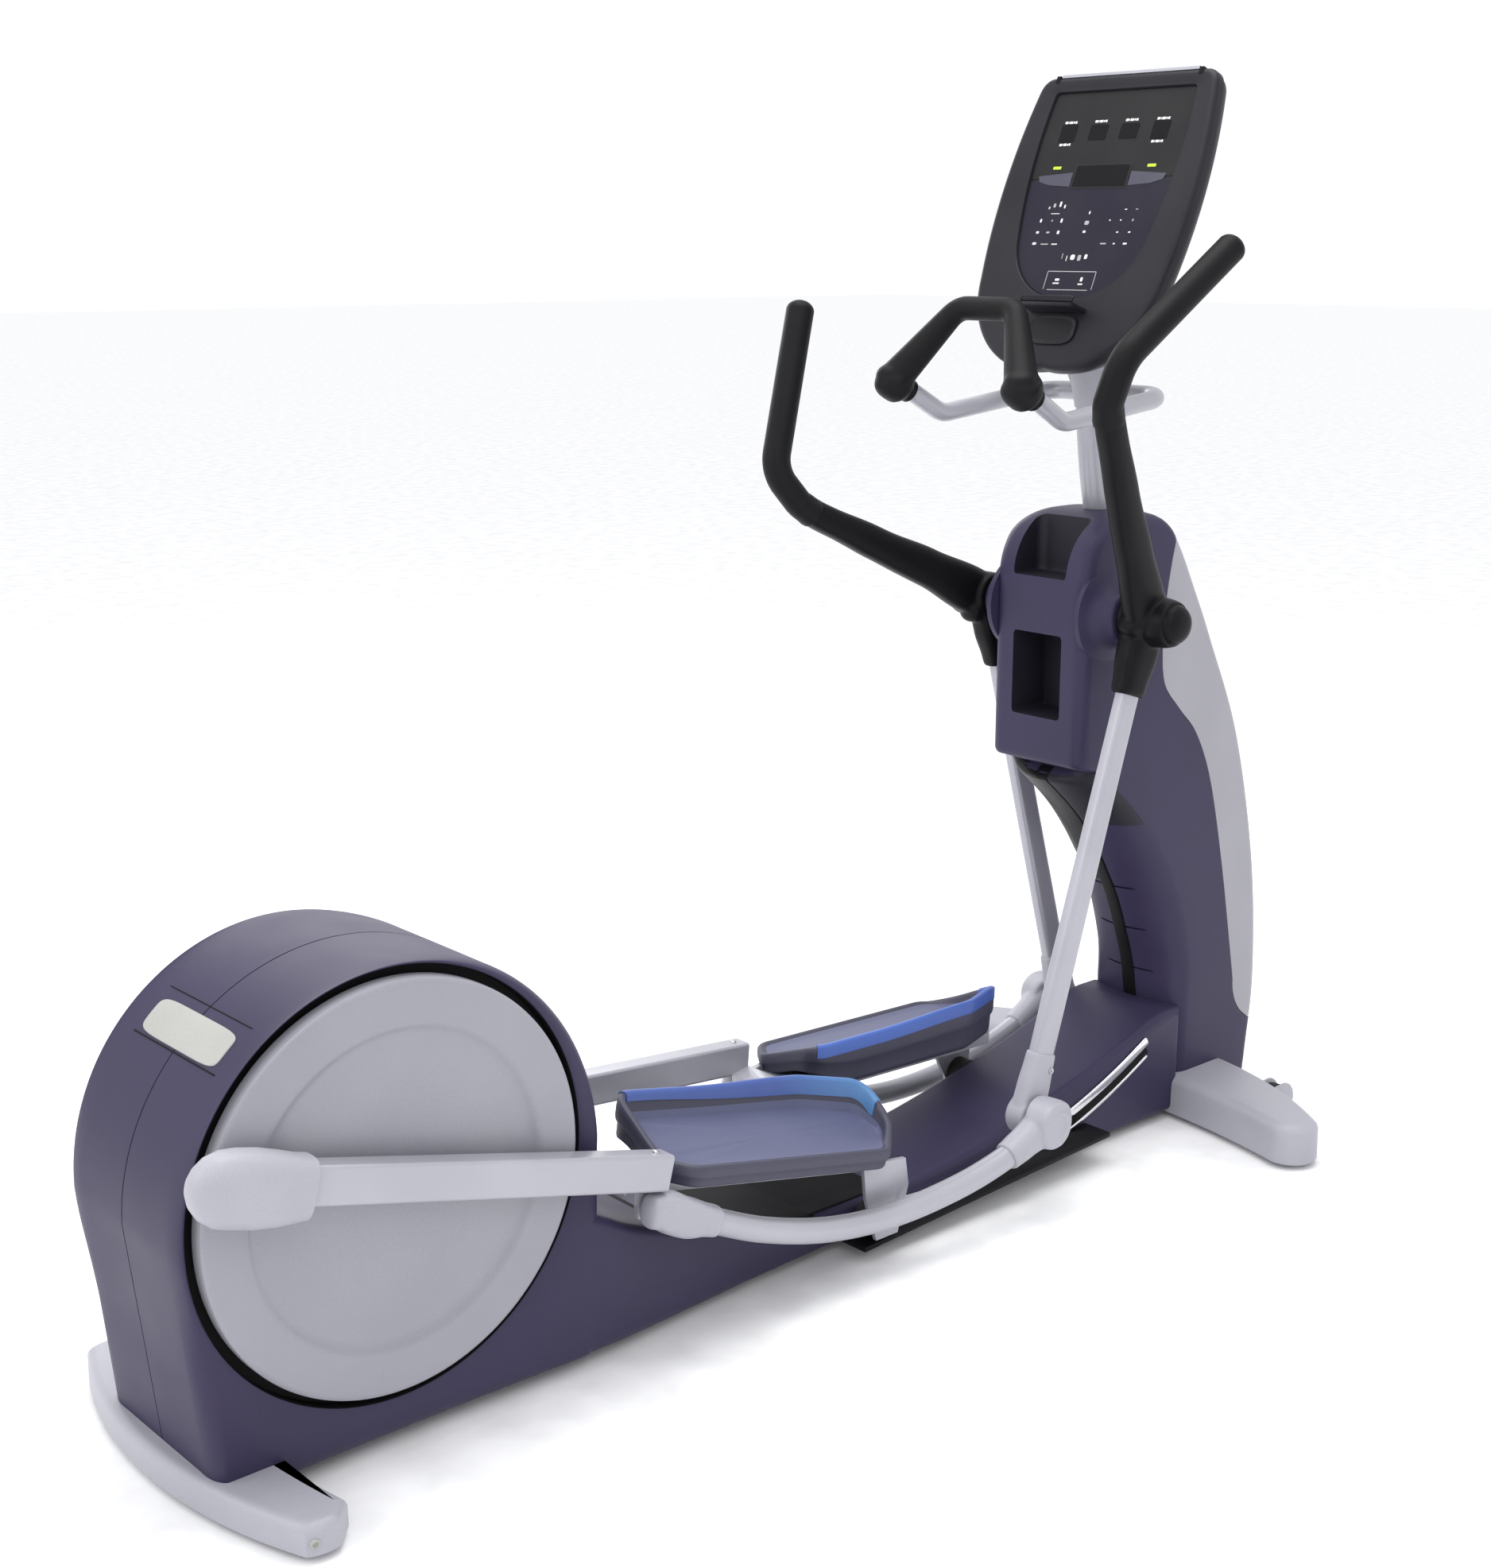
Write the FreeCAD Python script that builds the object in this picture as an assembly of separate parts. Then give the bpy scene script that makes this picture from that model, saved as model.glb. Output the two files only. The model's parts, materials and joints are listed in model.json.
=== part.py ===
import FreeCAD, Part
import math
import os

# Elliptical trainer. +X forward (the user faces the console), +Y the user's left, +Z up, millimetres.
# Stations along X are measured from the crank axis while modelling; every piece is moved to the
# middle of the footprint when it is written, so the row's origin is at the bottom centre.
# The right side is modelled at the rear end of its stroke. The left side is the mirror image of the
# right side moved to the forward end of the stroke, because the two cranks are half a turn apart.

V = FreeCAD.Vector

# ---- overall
REAR_REACH = -307.0
FRONT_REACH = 1880.0
MIDDLE = (REAR_REACH + FRONT_REACH) / 2

# ---- linkage
CRANK_HEIGHT = 365.0
CRANK_RADIUS = 239.0
CRANK_ANGLE = 159.6          # right crank pin, from +X towards +Z
FOOT_PITCH = 9.9             # how far the foot arm tips over the stroke
HANDLE_PIVOT = (1417.0, 933.0)
LINK_REAR = (399.0, 227.0)   # link to foot arm, right side
LINK_FRONT = (1169.0, 153.0)  # link to swing rod, right side
ROLLER = (858.0, 57.0)       # roller axle, right side
ROLLER_RADIUS = 28.0
RIDE_GAP = 0.5               # between a roller and its track
OPEN_GAP = 0.5               # between a crank pin and the disc it follows

# ---- widths, as distances from the middle plane
HOUSING_FACE = 146.0
DISC_FACE = 160.0
DISC_BACK = 134.0
SHROUD_SIDE = 104.0
COLUMN_SIDE = 100.0
ARM_IN = 168.0
ARM_OUT = 204.0
ROD_IN = 156.0
ROD_OUT = 184.0

# ---- drive
DISC_RADIUS = 276.0
DISC_DISH_RADIUS = 213.0
RECESS_RADIUS = 289.0
SHAFT_RADIUS = 15.0
PULLEY_RADIUS = 130.0
SMALL_PULLEY_RADIUS = 26.0
FLYWHEEL_RADIUS = 108.0
FLYWHEEL_AXLE = (150.0, 172.0)
FLYWHEEL_SHAFT_RADIUS = 9.0
RUNNING_GAP = 0.05
BELT_THICKNESS = 3.0

WALL = 4.0
ARM_HEIGHT = 52.0
LINK_TUBE_RADIUS = 19.0
ROD_WIDTH = 48.0
GRIP_RADIUS = 21.0
MAST_RADIUS = 25.0
LOOP_RADIUS = 15.0

pieces = {}


# ---------------------------------------------------------------- geometry helpers
def turned(point, centre, degrees):
    """A point of the XZ plane turned about centre, from +X towards +Z."""
    angle = math.radians(degrees)
    dx = point[0] - centre[0]
    dz = point[1] - centre[1]
    x = centre[0] + dx * math.cos(angle) - dz * math.sin(angle)
    z = centre[1] + dx * math.sin(angle) + dz * math.cos(angle)
    return (x, z)


def heading(start, end):
    return math.degrees(math.atan2(end[1] - start[1], end[0] - start[0]))


def distance(a, b):
    return math.hypot(b[0] - a[0], b[1] - a[1])


def meeting_point(a, reach_a, b, reach_b):
    """The forward of the two points at reach_a from a and reach_b from b."""
    gap = distance(a, b)
    along = (reach_a ** 2 - reach_b ** 2 + gap ** 2) / (2 * gap)
    aside = math.sqrt(reach_a ** 2 - along ** 2)
    ux = (b[0] - a[0]) / gap
    uz = (b[1] - a[1]) / gap
    return (a[0] + along * ux + aside * uz, a[1] + along * uz - aside * ux)


def box(x0, x1, y0, y1, z0, z1):
    return Part.makeBox(x1 - x0, y1 - y0, z1 - z0, V(x0, y0, z0))


def drum(centre, radius, y0, y1):
    """A cylinder along Y."""
    return Part.makeCylinder(radius, y1 - y0, V(centre[0], y0, centre[1]), V(0, 1, 0))


def ring(centre, outer, inner, y0, y1):
    return drum(centre, outer, y0, y1).cut(drum(centre, inner, y0 - 1, y1 + 1))


def line(a, b):
    return Part.LineSegment(V(a[0], 0, a[1]), V(b[0], 0, b[1])).toShape()


def arc(a, middle, b):
    return Part.Arc(V(a[0], 0, a[1]), V(middle[0], 0, middle[1]), V(b[0], 0, b[1])).toShape()


def curve(points):
    spline = Part.BSplineCurve()
    spline.interpolate([V(x, 0, z) for x, z in points])
    return spline.toShape()


def slab(edges, y0, y1):
    """A closed outline in the XZ plane, made solid from y0 to y1."""
    face = Part.Face(Part.Wire(edges))
    face.translate(V(0, y0, 0))
    return face.extrude(V(0, y1 - y0, 0))


def wire_at(edges, y):
    wire = Part.Wire(edges)
    wire.translate(V(0, y, 0))
    return wire


def inset_slab(edges, inset, y0, y1):
    outline = Part.Face(Part.Wire(edges))
    face = outline.makeOffset2D(-inset)
    face.translate(V(0, y0, 0))
    return face.extrude(V(0, y1 - y0, 0))


def polygon(points, y0, y1):
    edges = [line(a, b) for a, b in zip(points, points[1:] + points[:1])]
    return slab(edges, y0, y1)


def soften(shape, radius, chosen):
    """Fillet the edges that chosen picks."""
    edges = [edge for edge in shape.Edges if chosen(edge)]
    return shape.makeFillet(radius, edges)


def largest(shape):
    return max(shape.Solids, key=lambda solid: solid.Volume)


def lies_on_plane(coordinate, value):
    def chosen(edge):
        box_of_edge = edge.BoundBox
        low = getattr(box_of_edge, coordinate + "Min")
        high = getattr(box_of_edge, coordinate + "Max")
        return abs(low - value) < 0.01 and abs(high - value) < 0.01
    return chosen


def round_run(points, bend):
    """A wire through points, its corners rounded to the bend radius."""
    vectors = [V(*point) for point in points]
    edges = []
    start = vectors[0]
    for before, corner, after in zip(vectors, vectors[1:], vectors[2:]):
        incoming = (before - corner).normalize()
        outgoing = (after - corner).normalize()
        half = incoming.getAngle(outgoing) / 2
        back = bend / math.tan(half)
        middle = (incoming + outgoing).normalize() * (bend / math.sin(half) - bend)
        first = corner + incoming * back
        last = corner + outgoing * back
        edges.append(Part.LineSegment(start, first).toShape())
        edges.append(Part.Arc(first, corner + middle, last).toShape())
        start = last
    edges.append(Part.LineSegment(start, vectors[-1]).toShape())
    return Part.Wire(edges)


def pipe(points, radius, bend):
    path = round_run(points, bend)
    direction = V(*points[1]) - V(*points[0])
    circle = Part.Wire(Part.makeCircle(radius, V(*points[0]), direction))
    return path.makePipeShell([circle], True, False)


def oval(centre, along, wide, thick):
    """A closed oval section across the direction along: wide in the XZ plane, thick along Y."""
    direction = V(along[0], 0, along[1]).normalize()
    half_wide = wide / 2
    half_thick = thick / 2
    place = FreeCAD.Matrix(direction.z * half_wide, 0, direction.x, centre[0],
                           0, half_thick, 0, centre[1],
                           -direction.x * half_wide, 0, direction.z, centre[2],
                           0, 0, 0, 1)
    circle = Part.makeCircle(1)
    return Part.Wire(circle.transformGeometry(place).Edges)


def lofted(sections):
    """A solid through oval sections given as (centre, direction, wide, thick)."""
    return Part.makeLoft([oval(*section) for section in sections], True)


def bar(start, end, height, y0, y1):
    """A rectangular bar in the XZ plane from start to end, height across it."""
    length = distance(start, end)
    shape = box(0, length, y0, y1, -height / 2, height / 2)
    shape.rotate(V(0, 0, 0), V(0, -1, 0), heading(start, end))
    shape.translate(V(start[0], 0, start[1]))
    return shape


def add(name, shape):
    pieces[name] = shape


# ---------------------------------------------------------------- linkage
CRANK = (0.0, CRANK_HEIGHT)
PIN = turned((CRANK_RADIUS, CRANK_HEIGHT), CRANK, CRANK_ANGLE)
PIN_FORWARD = turned(PIN, CRANK, 180)


def foot_forward(point):
    tipped = turned(point, PIN, FOOT_PITCH)
    return (tipped[0] + PIN_FORWARD[0] - PIN[0], tipped[1] + PIN_FORWARD[1] - PIN[1])


LINK_LENGTH = distance(LINK_REAR, LINK_FRONT)
ROD_REACH = distance(HANDLE_PIVOT, LINK_FRONT)
LINK_REAR_FORWARD = foot_forward(LINK_REAR)
ROLLER_FORWARD = foot_forward(ROLLER)
LINK_FRONT_FORWARD = meeting_point(LINK_REAR_FORWARD, LINK_LENGTH, HANDLE_PIVOT, ROD_REACH)
LINK_TURN = heading(LINK_REAR_FORWARD, LINK_FRONT_FORWARD) - heading(LINK_REAR, LINK_FRONT)
HANDLE_TURN = heading(HANDLE_PIVOT, LINK_FRONT_FORWARD) - heading(HANDLE_PIVOT, LINK_FRONT)
STROKE_HEADING = heading(ROLLER, ROLLER_FORWARD)

# body: turning point at the rear end of the stroke, angle over the stroke, turning point at its end
TRAVEL = {
    "foot": (PIN, FOOT_PITCH, PIN_FORWARD),
    "link": (LINK_REAR, LINK_TURN, LINK_REAR_FORWARD),
    "handle": (HANDLE_PIVOT, HANDLE_TURN, HANDLE_PIVOT),
    "roller": (ROLLER, 0.0, ROLLER_FORWARD),
}


def add_sides(name, body, shape):
    """The right piece as modelled, and its mirror image at the other end of the stroke."""
    add("right_" + name, shape)
    centre, angle, landing = TRAVEL[body]
    other = shape.copy()
    other.rotate(V(centre[0], 0, centre[1]), V(0, -1, 0), angle)
    other.translate(V(landing[0] - centre[0], 0, landing[1] - centre[1]))
    add("left_" + name, other.mirror(V(0, 0, 0), V(0, 1, 0)))


# ---------------------------------------------------------------- swing handle, one side
HUB_RADIUS = 40.0
HUB_CAP_RADIUS = 33.0
HUB_CAP_OUT = 249.0
AXLE_RADIUS = 12.0
ROD_HEADING = heading(HANDLE_PIVOT, LINK_FRONT)
SLEEVE_END = turned((HANDLE_PIVOT[0], HANDLE_PIVOT[1] - 120), HANDLE_PIVOT, ROD_HEADING + 90)
ROD_ALONG = (LINK_FRONT[0] - HANDLE_PIVOT[0], LINK_FRONT[1] - HANDLE_PIVOT[1])
HANDLE_ELBOW = (1209.0, -247.0, 1279.0)
HANDLE_BEND = (1211.0, -269.0, 1352.0)
HANDLE_TIP = (1419.0, -299.0, 1512.0)
HANDLE_Y = -(ROD_IN + ROD_OUT) / 2


def handle_hub():
    """Hub on the pivot axle with its outer cap."""
    hub = drum(HANDLE_PIVOT, HUB_RADIUS, -214, -148)
    cap = drum(HANDLE_PIVOT, HUB_CAP_RADIUS, -HUB_CAP_OUT, -214)
    cap = soften(cap, 10, lies_on_plane("Y", -HUB_CAP_OUT))
    return hub.fuse(cap)


def handle_arm():
    """Moulded arm: sleeve over the rod, hub, tapering blade and lower elbow of the grip tube."""
    hx, hz = HANDLE_PIVOT
    back_up = (HANDLE_ELBOW[0] - hx, HANDLE_ELBOW[2] - hz)
    blade = lofted([
        ((hx, -180, hz), back_up, 82, 50),
        ((hx - 70, -198, hz + 116), back_up, 66, 46),
        ((hx - 150, -226, hz + 250), back_up, 54, 44),
        ((HANDLE_ELBOW[0] + 14, -244, HANDLE_ELBOW[2] - 26), back_up, 48, 44),
    ])
    sleeve = lofted([
        ((hx, -176, hz), ROD_ALONG, 80, 52),
        ((SLEEVE_END[0], HANDLE_Y, SLEEVE_END[1]), ROD_ALONG, 62, 42),
    ])
    elbow = pipe([(hx - 150, -226, hz + 250), HANDLE_ELBOW, HANDLE_BEND, (1270, -277.5, 1397.4)], GRIP_RADIUS, 36)
    arm = handle_hub().fuse([blade, sleeve, elbow])
    arm = arm.cut(drum(HANDLE_PIVOT, AXLE_RADIUS + RUNNING_GAP, -226, -140))
    return arm.cut(swing_rod_bar(SLEEVE_END, -70, 0.1))


def handle_grip():
    """Rubber grip over the upper tube, with a rounded tip."""
    start = V(1270, -277.5, 1397.4)
    end = V(*HANDLE_TIP)
    along = (end - start).normalize()
    length = (end - start).Length
    grip = Part.makeCylinder(GRIP_RADIUS + 2, length, start + along * 0.2, along)
    return soften(grip, GRIP_RADIUS - 3, lambda edge: (edge.CenterOfMass - end).Length < 1)


def swing_rod_bar(start, back, play):
    """The straight rod from back beyond start down to the foot, with play all round."""
    length = distance(HANDLE_PIVOT, LINK_FRONT)
    ux = ROD_ALONG[0] / length
    uz = ROD_ALONG[1] / length
    top = (start[0] + ux * back, start[1] + uz * back)
    foot = (LINK_FRONT[0] - ux * 34, LINK_FRONT[1] - uz * 34)
    foot = (foot[0] + ux * play, foot[1] + uz * play)
    top = (top[0] - ux * play, top[1] - uz * play)
    return bar(top, foot, ROD_WIDTH - 8 + 2 * play, -ROD_OUT + 4 - play, -ROD_IN - 4 + play)


def swing_rod():
    """Rectangular tube with rounded corners, closed at both ends."""
    rod = swing_rod_bar(SLEEVE_END, -70, 0)
    rod = soften(rod, 6, lambda edge: edge.Length > 300)
    return rod.cut(swing_rod_bar(SLEEVE_END, -70, -TUBE_WALL))


ROD_FOOT_IN = 150.0
ROD_FOOT_OUT = 188.0


def rod_foot_cover():
    """Clevis cover at the rod's foot, with the stub pin that points at the link's front cover."""
    length = distance(HANDLE_PIVOT, LINK_FRONT)
    ux = ROD_ALONG[0] / length
    uz = ROD_ALONG[1] / length
    upper = (LINK_FRONT[0] - ux * 95, LINK_FRONT[1] - uz * 95)
    boss = drum(LINK_FRONT, 33, -ROD_FOOT_OUT, -ROD_FOOT_IN)
    shank = bar(upper, LINK_FRONT, ROD_WIDTH + 8, -ROD_FOOT_OUT, -ROD_FOOT_IN)
    cover = boss.fuse(shank)
    return cover.cut(swing_rod_bar(SLEEVE_END, -70, 0.1))


# ---------------------------------------------------------------- curved link, one side
LINK_IN = 171.0
LINK_Y_REAR = -190.0
LINK_Y_FRONT = -211.0
LINK_COVER_IN = 190.0
LINK_COVER_OUT = 240.0
LINK_SAG = [(477.0, 190.0), (581.0, 143.0), (707.0, 106.0), (840.0, 91.0), (980.0, 98.0), (1089.0, 120.0)]


def link_centres():
    """Centre line from the rear joint, down under the pedal and up to the front joint."""
    run = [LINK_REAR] + LINK_SAG + [LINK_FRONT]
    total = LINK_FRONT[0] - LINK_REAR[0]
    centres = []
    for x, z in run:
        share = (x - LINK_REAR[0]) / total
        centres.append(V(x, LINK_Y_REAR + (LINK_Y_FRONT - LINK_Y_REAR) * share, z))
    return centres


def link_tube():
    """Bent tube between the two eyes."""
    tube = link_rod(LINK_TUBE_RADIUS).cut(link_rod(LINK_TUBE_RADIUS - TUBE_WALL))
    return largest(tube.cut(link_eyes()[0]).cut(link_eyes()[1]))


def link_rod(radius):
    centres = link_centres()
    spline = Part.BSplineCurve()
    spline.interpolate(centres)
    path = Part.Wire([spline.toShape()])
    circle = Part.Wire(Part.makeCircle(radius, centres[0], spline.tangent(spline.FirstParameter)[0]))
    return path.makePipeShell([circle], True, False)


def link_eyes():
    rear = drum(LINK_REAR, 30, -214, -LINK_IN)
    rear = rear.fuse(box(LINK_REAR[0], 452, -214, -LINK_IN, 190, 232))
    front = drum(LINK_FRONT, 42, -LINK_COVER_OUT, -LINK_COVER_IN)
    return [rear, front]


def link_covers():
    """Rear eye and front eye, one solid each."""
    rear, front = link_eyes()
    rear = rear.cut(drum(LINK_REAR, 10 + RUNNING_GAP, -206, -160))
    front = soften(front, 8, lies_on_plane("Y", -LINK_COVER_OUT))
    return Part.Compound([rear, front])


# ---------------------------------------------------------------- foot arm, one side
ARM_END = (402.0, 284.0)
PEDAL_TILT = -12.0
PEDAL_ORIGIN = (447.0, 290.0)
PEDAL_LENGTH = 418.0
PEDAL_INNER = 30.0
PEDAL_OUTER = 205.0
CARRIER_IN = 70.0
CARRIER_OUT = 150.0
CARRIER_HEIGHT = 26.0
CARRIER_START = (363.8, 259.2)
CARRIER_END = (857.7, 154.2)
CARRIER_FALL = (CARRIER_START[1] - CARRIER_END[1]) / (CARRIER_END[0] - CARRIER_START[0])
TUBE_WALL = 3.0


def arm_bar(play=0.0):
    return bar(PIN, ARM_END, ARM_HEIGHT + 2 * play, -ARM_OUT - play, -ARM_IN + play)


def foot_arm():
    """Box-section arm, pedal carrier and front roller bracket, welded into one."""
    arm = arm_bar()
    arm = soften(arm, 5, lambda edge: abs(edge.Length - distance(PIN, ARM_END)) < 0.01)
    hollow = bar((PIN[0] + 60, PIN[1] - 15.7), (ARM_END[0] - 60, ARM_END[1] + 15.7),
                 ARM_HEIGHT - 2 * TUBE_WALL,
                 -ARM_OUT + TUBE_WALL, -ARM_IN - TUBE_WALL)
    arm = arm.cut(hollow)
    cross = box(364, 400, -ARM_IN - 2, -CARRIER_IN, 238, 272)
    carrier = bar(CARRIER_START, CARRIER_END, CARRIER_HEIGHT, -CARRIER_OUT, -CARRIER_IN)
    core_start = (460, CARRIER_START[1] - (460 - CARRIER_START[0]) * CARRIER_FALL)
    core_end = (780, CARRIER_START[1] - (780 - CARRIER_START[0]) * CARRIER_FALL)
    core = bar(core_start, core_end, CARRIER_HEIGHT - 2 * TUBE_WALL,
               -CARRIER_OUT + TUBE_WALL, -CARRIER_IN - TUBE_WALL)
    bracket = polygon([(806, 168), (812, 110), (835, 36), (881, 36), (903, 110), (896, 155)], -167, -160)
    shelf = polygon([(812, 167), (812, 151), (858, 141), (858, 157)], -160, -CARRIER_OUT + 1)
    lug = polygon([(372, 268), (372, 214), (399, 197), (426, 214), (426, 268)], -167, -157)
    rear_pin = drum(LINK_REAR, 10, -205.5, -157)
    arm = arm.fuse([cross, carrier.cut(core), bracket, shelf, lug, rear_pin])
    arm = arm.cut(drum(ROLLER, 8 + RUNNING_GAP, -170, -150))
    return arm.cut(drum(PIN, 12, -ARM_OUT + 8, -ARM_IN + 1))


def crank_pin():
    return drum(PIN, 12, -ARM_OUT + 8, -DISC_FACE - OPEN_GAP)


def crank_cover():
    """Egg-shaped cover over the crank end of the arm."""
    slope = heading(PIN, ARM_END)
    rear = (REAR_REACH + 47, PIN[1] + 8)
    body = Part.makeSphere(47, V(rear[0], -196, rear[1]))
    collar = turned((PIN[0] + 72, PIN[1]), PIN, slope)
    along = (collar[0] - rear[0], collar[1] - rear[1])
    sleeve = lofted([
        ((rear[0], -196, rear[1]), along, 94, 62),
        ((PIN[0] + 20, -196, PIN[1] - 3), along, 94, 62),
        ((collar[0], -192, collar[1]), along, 78, 54),
    ])
    cover = body.fuse(sleeve)
    cover = cover.common(box(REAR_REACH - 10, 0, -228, -ARM_IN + 2, 300, 600))
    cover = cover.cut(arm_bar(0.1))
    return cover.cut(drum(PIN, 12.2, -ARM_OUT, -DISC_FACE))


def pedal_place(shape):
    """From the pedal's own axes, X along its floor, to its place on the arm."""
    shape.rotate(V(0, 0, 0), V(0, -1, 0), PEDAL_TILT)
    shape.translate(V(PEDAL_ORIGIN[0], 0, PEDAL_ORIGIN[1]))
    return shape


PEDAL_FLOOR = -28.0
PEDAL_UNDER = -34.0
PEDAL_RIM = 42.0


def pedal_plan(inset, z0, z1):
    """Plan outline with a cut-back rear outer corner and rounded front corners, made solid."""
    inner = -PEDAL_INNER - inset
    outer = -PEDAL_OUTER + inset
    rear = inset
    front = PEDAL_LENGTH - inset
    points = [(rear, inner), (front - 30, inner), (front, inner - 30), (front, outer + 40),
              (front - 40, outer), (rear + 50, outer), (rear, outer + 60)]
    corners = [V(x, y, z0) for x, y in points]
    wire = Part.makePolygon(corners + corners[:1])
    return Part.Face(wire).extrude(V(0, 0, z1 - z0))


def pedal_tray():
    """Foot plate with a high inner wall, a front wall and a low outer wall."""
    outer = pedal_plan(0, PEDAL_UNDER, PEDAL_RIM)
    hollow = pedal_plan(10, PEDAL_FLOOR, PEDAL_RIM + 1)
    tray = outer.cut(hollow)
    lowered = box(-1, PEDAL_LENGTH - 60, -PEDAL_OUTER - 1, -PEDAL_INNER - 60, 8, PEDAL_RIM + 1)
    tray = tray.cut(lowered)
    tray = tray.cut(pedal_plan(-1, PEDAL_RIM - 8, PEDAL_RIM + 2))
    return pedal_place(tray)


def pedal_trim():
    """Coloured cap along the inner rim and round the front."""
    rim = pedal_plan(0, PEDAL_RIM - 8, PEDAL_RIM).cut(pedal_plan(12, PEDAL_RIM - 9, PEDAL_RIM + 1))
    kept = box(-1, PEDAL_LENGTH + 1, -PEDAL_INNER - 60, 0, PEDAL_RIM - 9, PEDAL_RIM + 1)
    front = box(PEDAL_LENGTH - 60, PEDAL_LENGTH + 1, -PEDAL_OUTER + 60, 0, PEDAL_RIM - 9, PEDAL_RIM + 1)
    return pedal_place(rim.common(kept.fuse(front)))


# ---------------------------------------------------------------- roller, one side
ROLLER_IN = 122.0
ROLLER_OUT = 158.0


def roller_axle():
    return drum(ROLLER, 8, -167.0, -116.0)


def roller():
    return ring(ROLLER, ROLLER_RADIUS, 8 + RUNNING_GAP, -ROLLER_OUT, -ROLLER_IN)


def build_sides():
    add_sides("handle_arm", "handle", handle_arm())
    add_sides("handle_grip", "handle", handle_grip())
    add_sides("swing_rod", "handle", swing_rod())
    add_sides("rod_foot_cover", "handle", rod_foot_cover())
    add_sides("link_tube", "link", link_tube())
    add_sides("link_covers", "link", link_covers())
    add_sides("foot_arm", "foot", foot_arm())
    add_sides("crank_pin", "foot", crank_pin())
    add_sides("crank_cover", "foot", crank_cover())
    add_sides("pedal_tray", "foot", pedal_tray())
    add_sides("pedal_trim", "foot", pedal_trim())
    add_sides("roller_axle", "roller", roller_axle())
    add_sides("roller", "roller", roller())


# ---------------------------------------------------------------- base and feet
BEAM_HALF = 38.0
BEAM_LOW = 26.0
BEAM_HIGH = 66.0
PLATE_IN = 38.0
PLATE_OUT = 48.0
BEARING_RADIUS = 34.0
MAST_FOOT = (1728.0, BEAM_HIGH)
MAST_KNEE = (1600.0, 700.0)
MAST_NECK = (1487.0, 1130.0)
MAST_TOP = (1441.0, 1445.0)
REAR_FOOT_HEIGHT = 50.0
FRONT_FOOT_HEIGHT = 78.0
PAD_HEIGHT = 8.0
WHEEL_AXLE = (1768.0, 34.0)
WHEEL_RADIUS = 32.0
WHEEL_IN = 214.0
WHEEL_OUT = 240.0


def crank_plate(side):
    """Upright plate that carries a crank bearing and the flywheel axle."""
    low, high = sorted((side * PLATE_IN, side * PLATE_OUT))
    fx, fz = FLYWHEEL_AXLE
    plate = polygon([(-70, BEAM_LOW), (220, BEAM_LOW), (205, fz + 20), (45, 410), (-45, 410)], low, high)
    plate = plate.cut(drum(CRANK, BEARING_RADIUS, low - 1, high + 1))
    return plate.cut(drum(FLYWHEEL_AXLE, 22, low - 1, high + 1))


def base_frame():
    """Spine beam, crank plates, cross members for the feet and a leaning post under the mast."""
    beam = box(-240, 1758, -BEAM_HALF, BEAM_HALF, BEAM_LOW, BEAM_HIGH)
    hollow = BEAM_HALF - TUBE_WALL
    beam = beam.cut(box(-230, 1640, -hollow, hollow, BEAM_LOW + TUBE_WALL, BEAM_HIGH - TUBE_WALL))
    rear_cross = box(-262, -196, -150, 150, BEAM_LOW, 44)
    front_cross = box(1650, 1730, -180, 180, BEAM_LOW, 58)
    return beam.fuse([crank_plate(1), crank_plate(-1), rear_cross, front_cross])


def mast():
    """Bent tube from the spine up through the column to the console."""
    points = [(MAST_FOOT[0], 0, MAST_FOOT[1]), (MAST_KNEE[0], 0, MAST_KNEE[1]),
              (MAST_NECK[0], 0, MAST_NECK[1]), (MAST_TOP[0], 0, MAST_TOP[1])]
    tube = pipe(points, MAST_RADIUS, 500).cut(pipe(points, MAST_RADIUS - TUBE_WALL, 500))
    return tube.cut(box(1600, 1800, -BEAM_HALF, BEAM_HALF, 0, BEAM_HIGH))


def rear_foot_outline():
    """Swept-forward crescent in plan, from the right tip round the back to the left tip."""
    back = Part.Arc(V(-232, -292, 0), V(-292, 0, 0), V(-232, 292, 0)).toShape()
    left_end = Part.LineSegment(V(-232, 292, 0), V(-184, 298, 0)).toShape()
    left_chamfer = Part.LineSegment(V(-184, 298, 0), V(-156, 264, 0)).toShape()
    front = Part.Arc(V(-156, 264, 0), V(-182, 0, 0), V(-156, -264, 0)).toShape()
    right_chamfer = Part.LineSegment(V(-156, -264, 0), V(-184, -298, 0)).toShape()
    right_end = Part.LineSegment(V(-184, -298, 0), V(-232, -292, 0)).toShape()
    return [back, left_end, left_chamfer, front, right_chamfer, right_end]


def plan_solid(edges, z0, z1):
    face = Part.Face(Part.Wire(edges))
    face.translate(V(0, 0, z0))
    return face.extrude(V(0, 0, z1 - z0))


def rear_stabilizer():
    """Moulded crescent cover over the rear cross member."""
    cover = plan_solid(rear_foot_outline(), PAD_HEIGHT, REAR_FOOT_HEIGHT)
    cover = soften(cover, 8, lies_on_plane("Z", REAR_FOOT_HEIGHT))
    cover = cover.cut(box(-263, -195, -151, 151, 0, 45))
    return cover.cut(box(-263, -90, -BEAM_HALF - 1, BEAM_HALF + 1, 0, 100))


def front_foot_outline():
    back = Part.Arc(V(1590, -352, 0), V(1636, 0, 0), V(1590, 352, 0)).toShape()
    left_end = Part.Arc(V(1590, 352, 0), V(1622, 398, 0), V(1668, 388, 0)).toShape()
    front = Part.Arc(V(1668, 388, 0), V(1794, 0, 0), V(1668, -388, 0)).toShape()
    right_end = Part.Arc(V(1668, -388, 0), V(1622, -398, 0), V(1590, -352, 0)).toShape()
    return [back, left_end, front, right_end]


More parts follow.
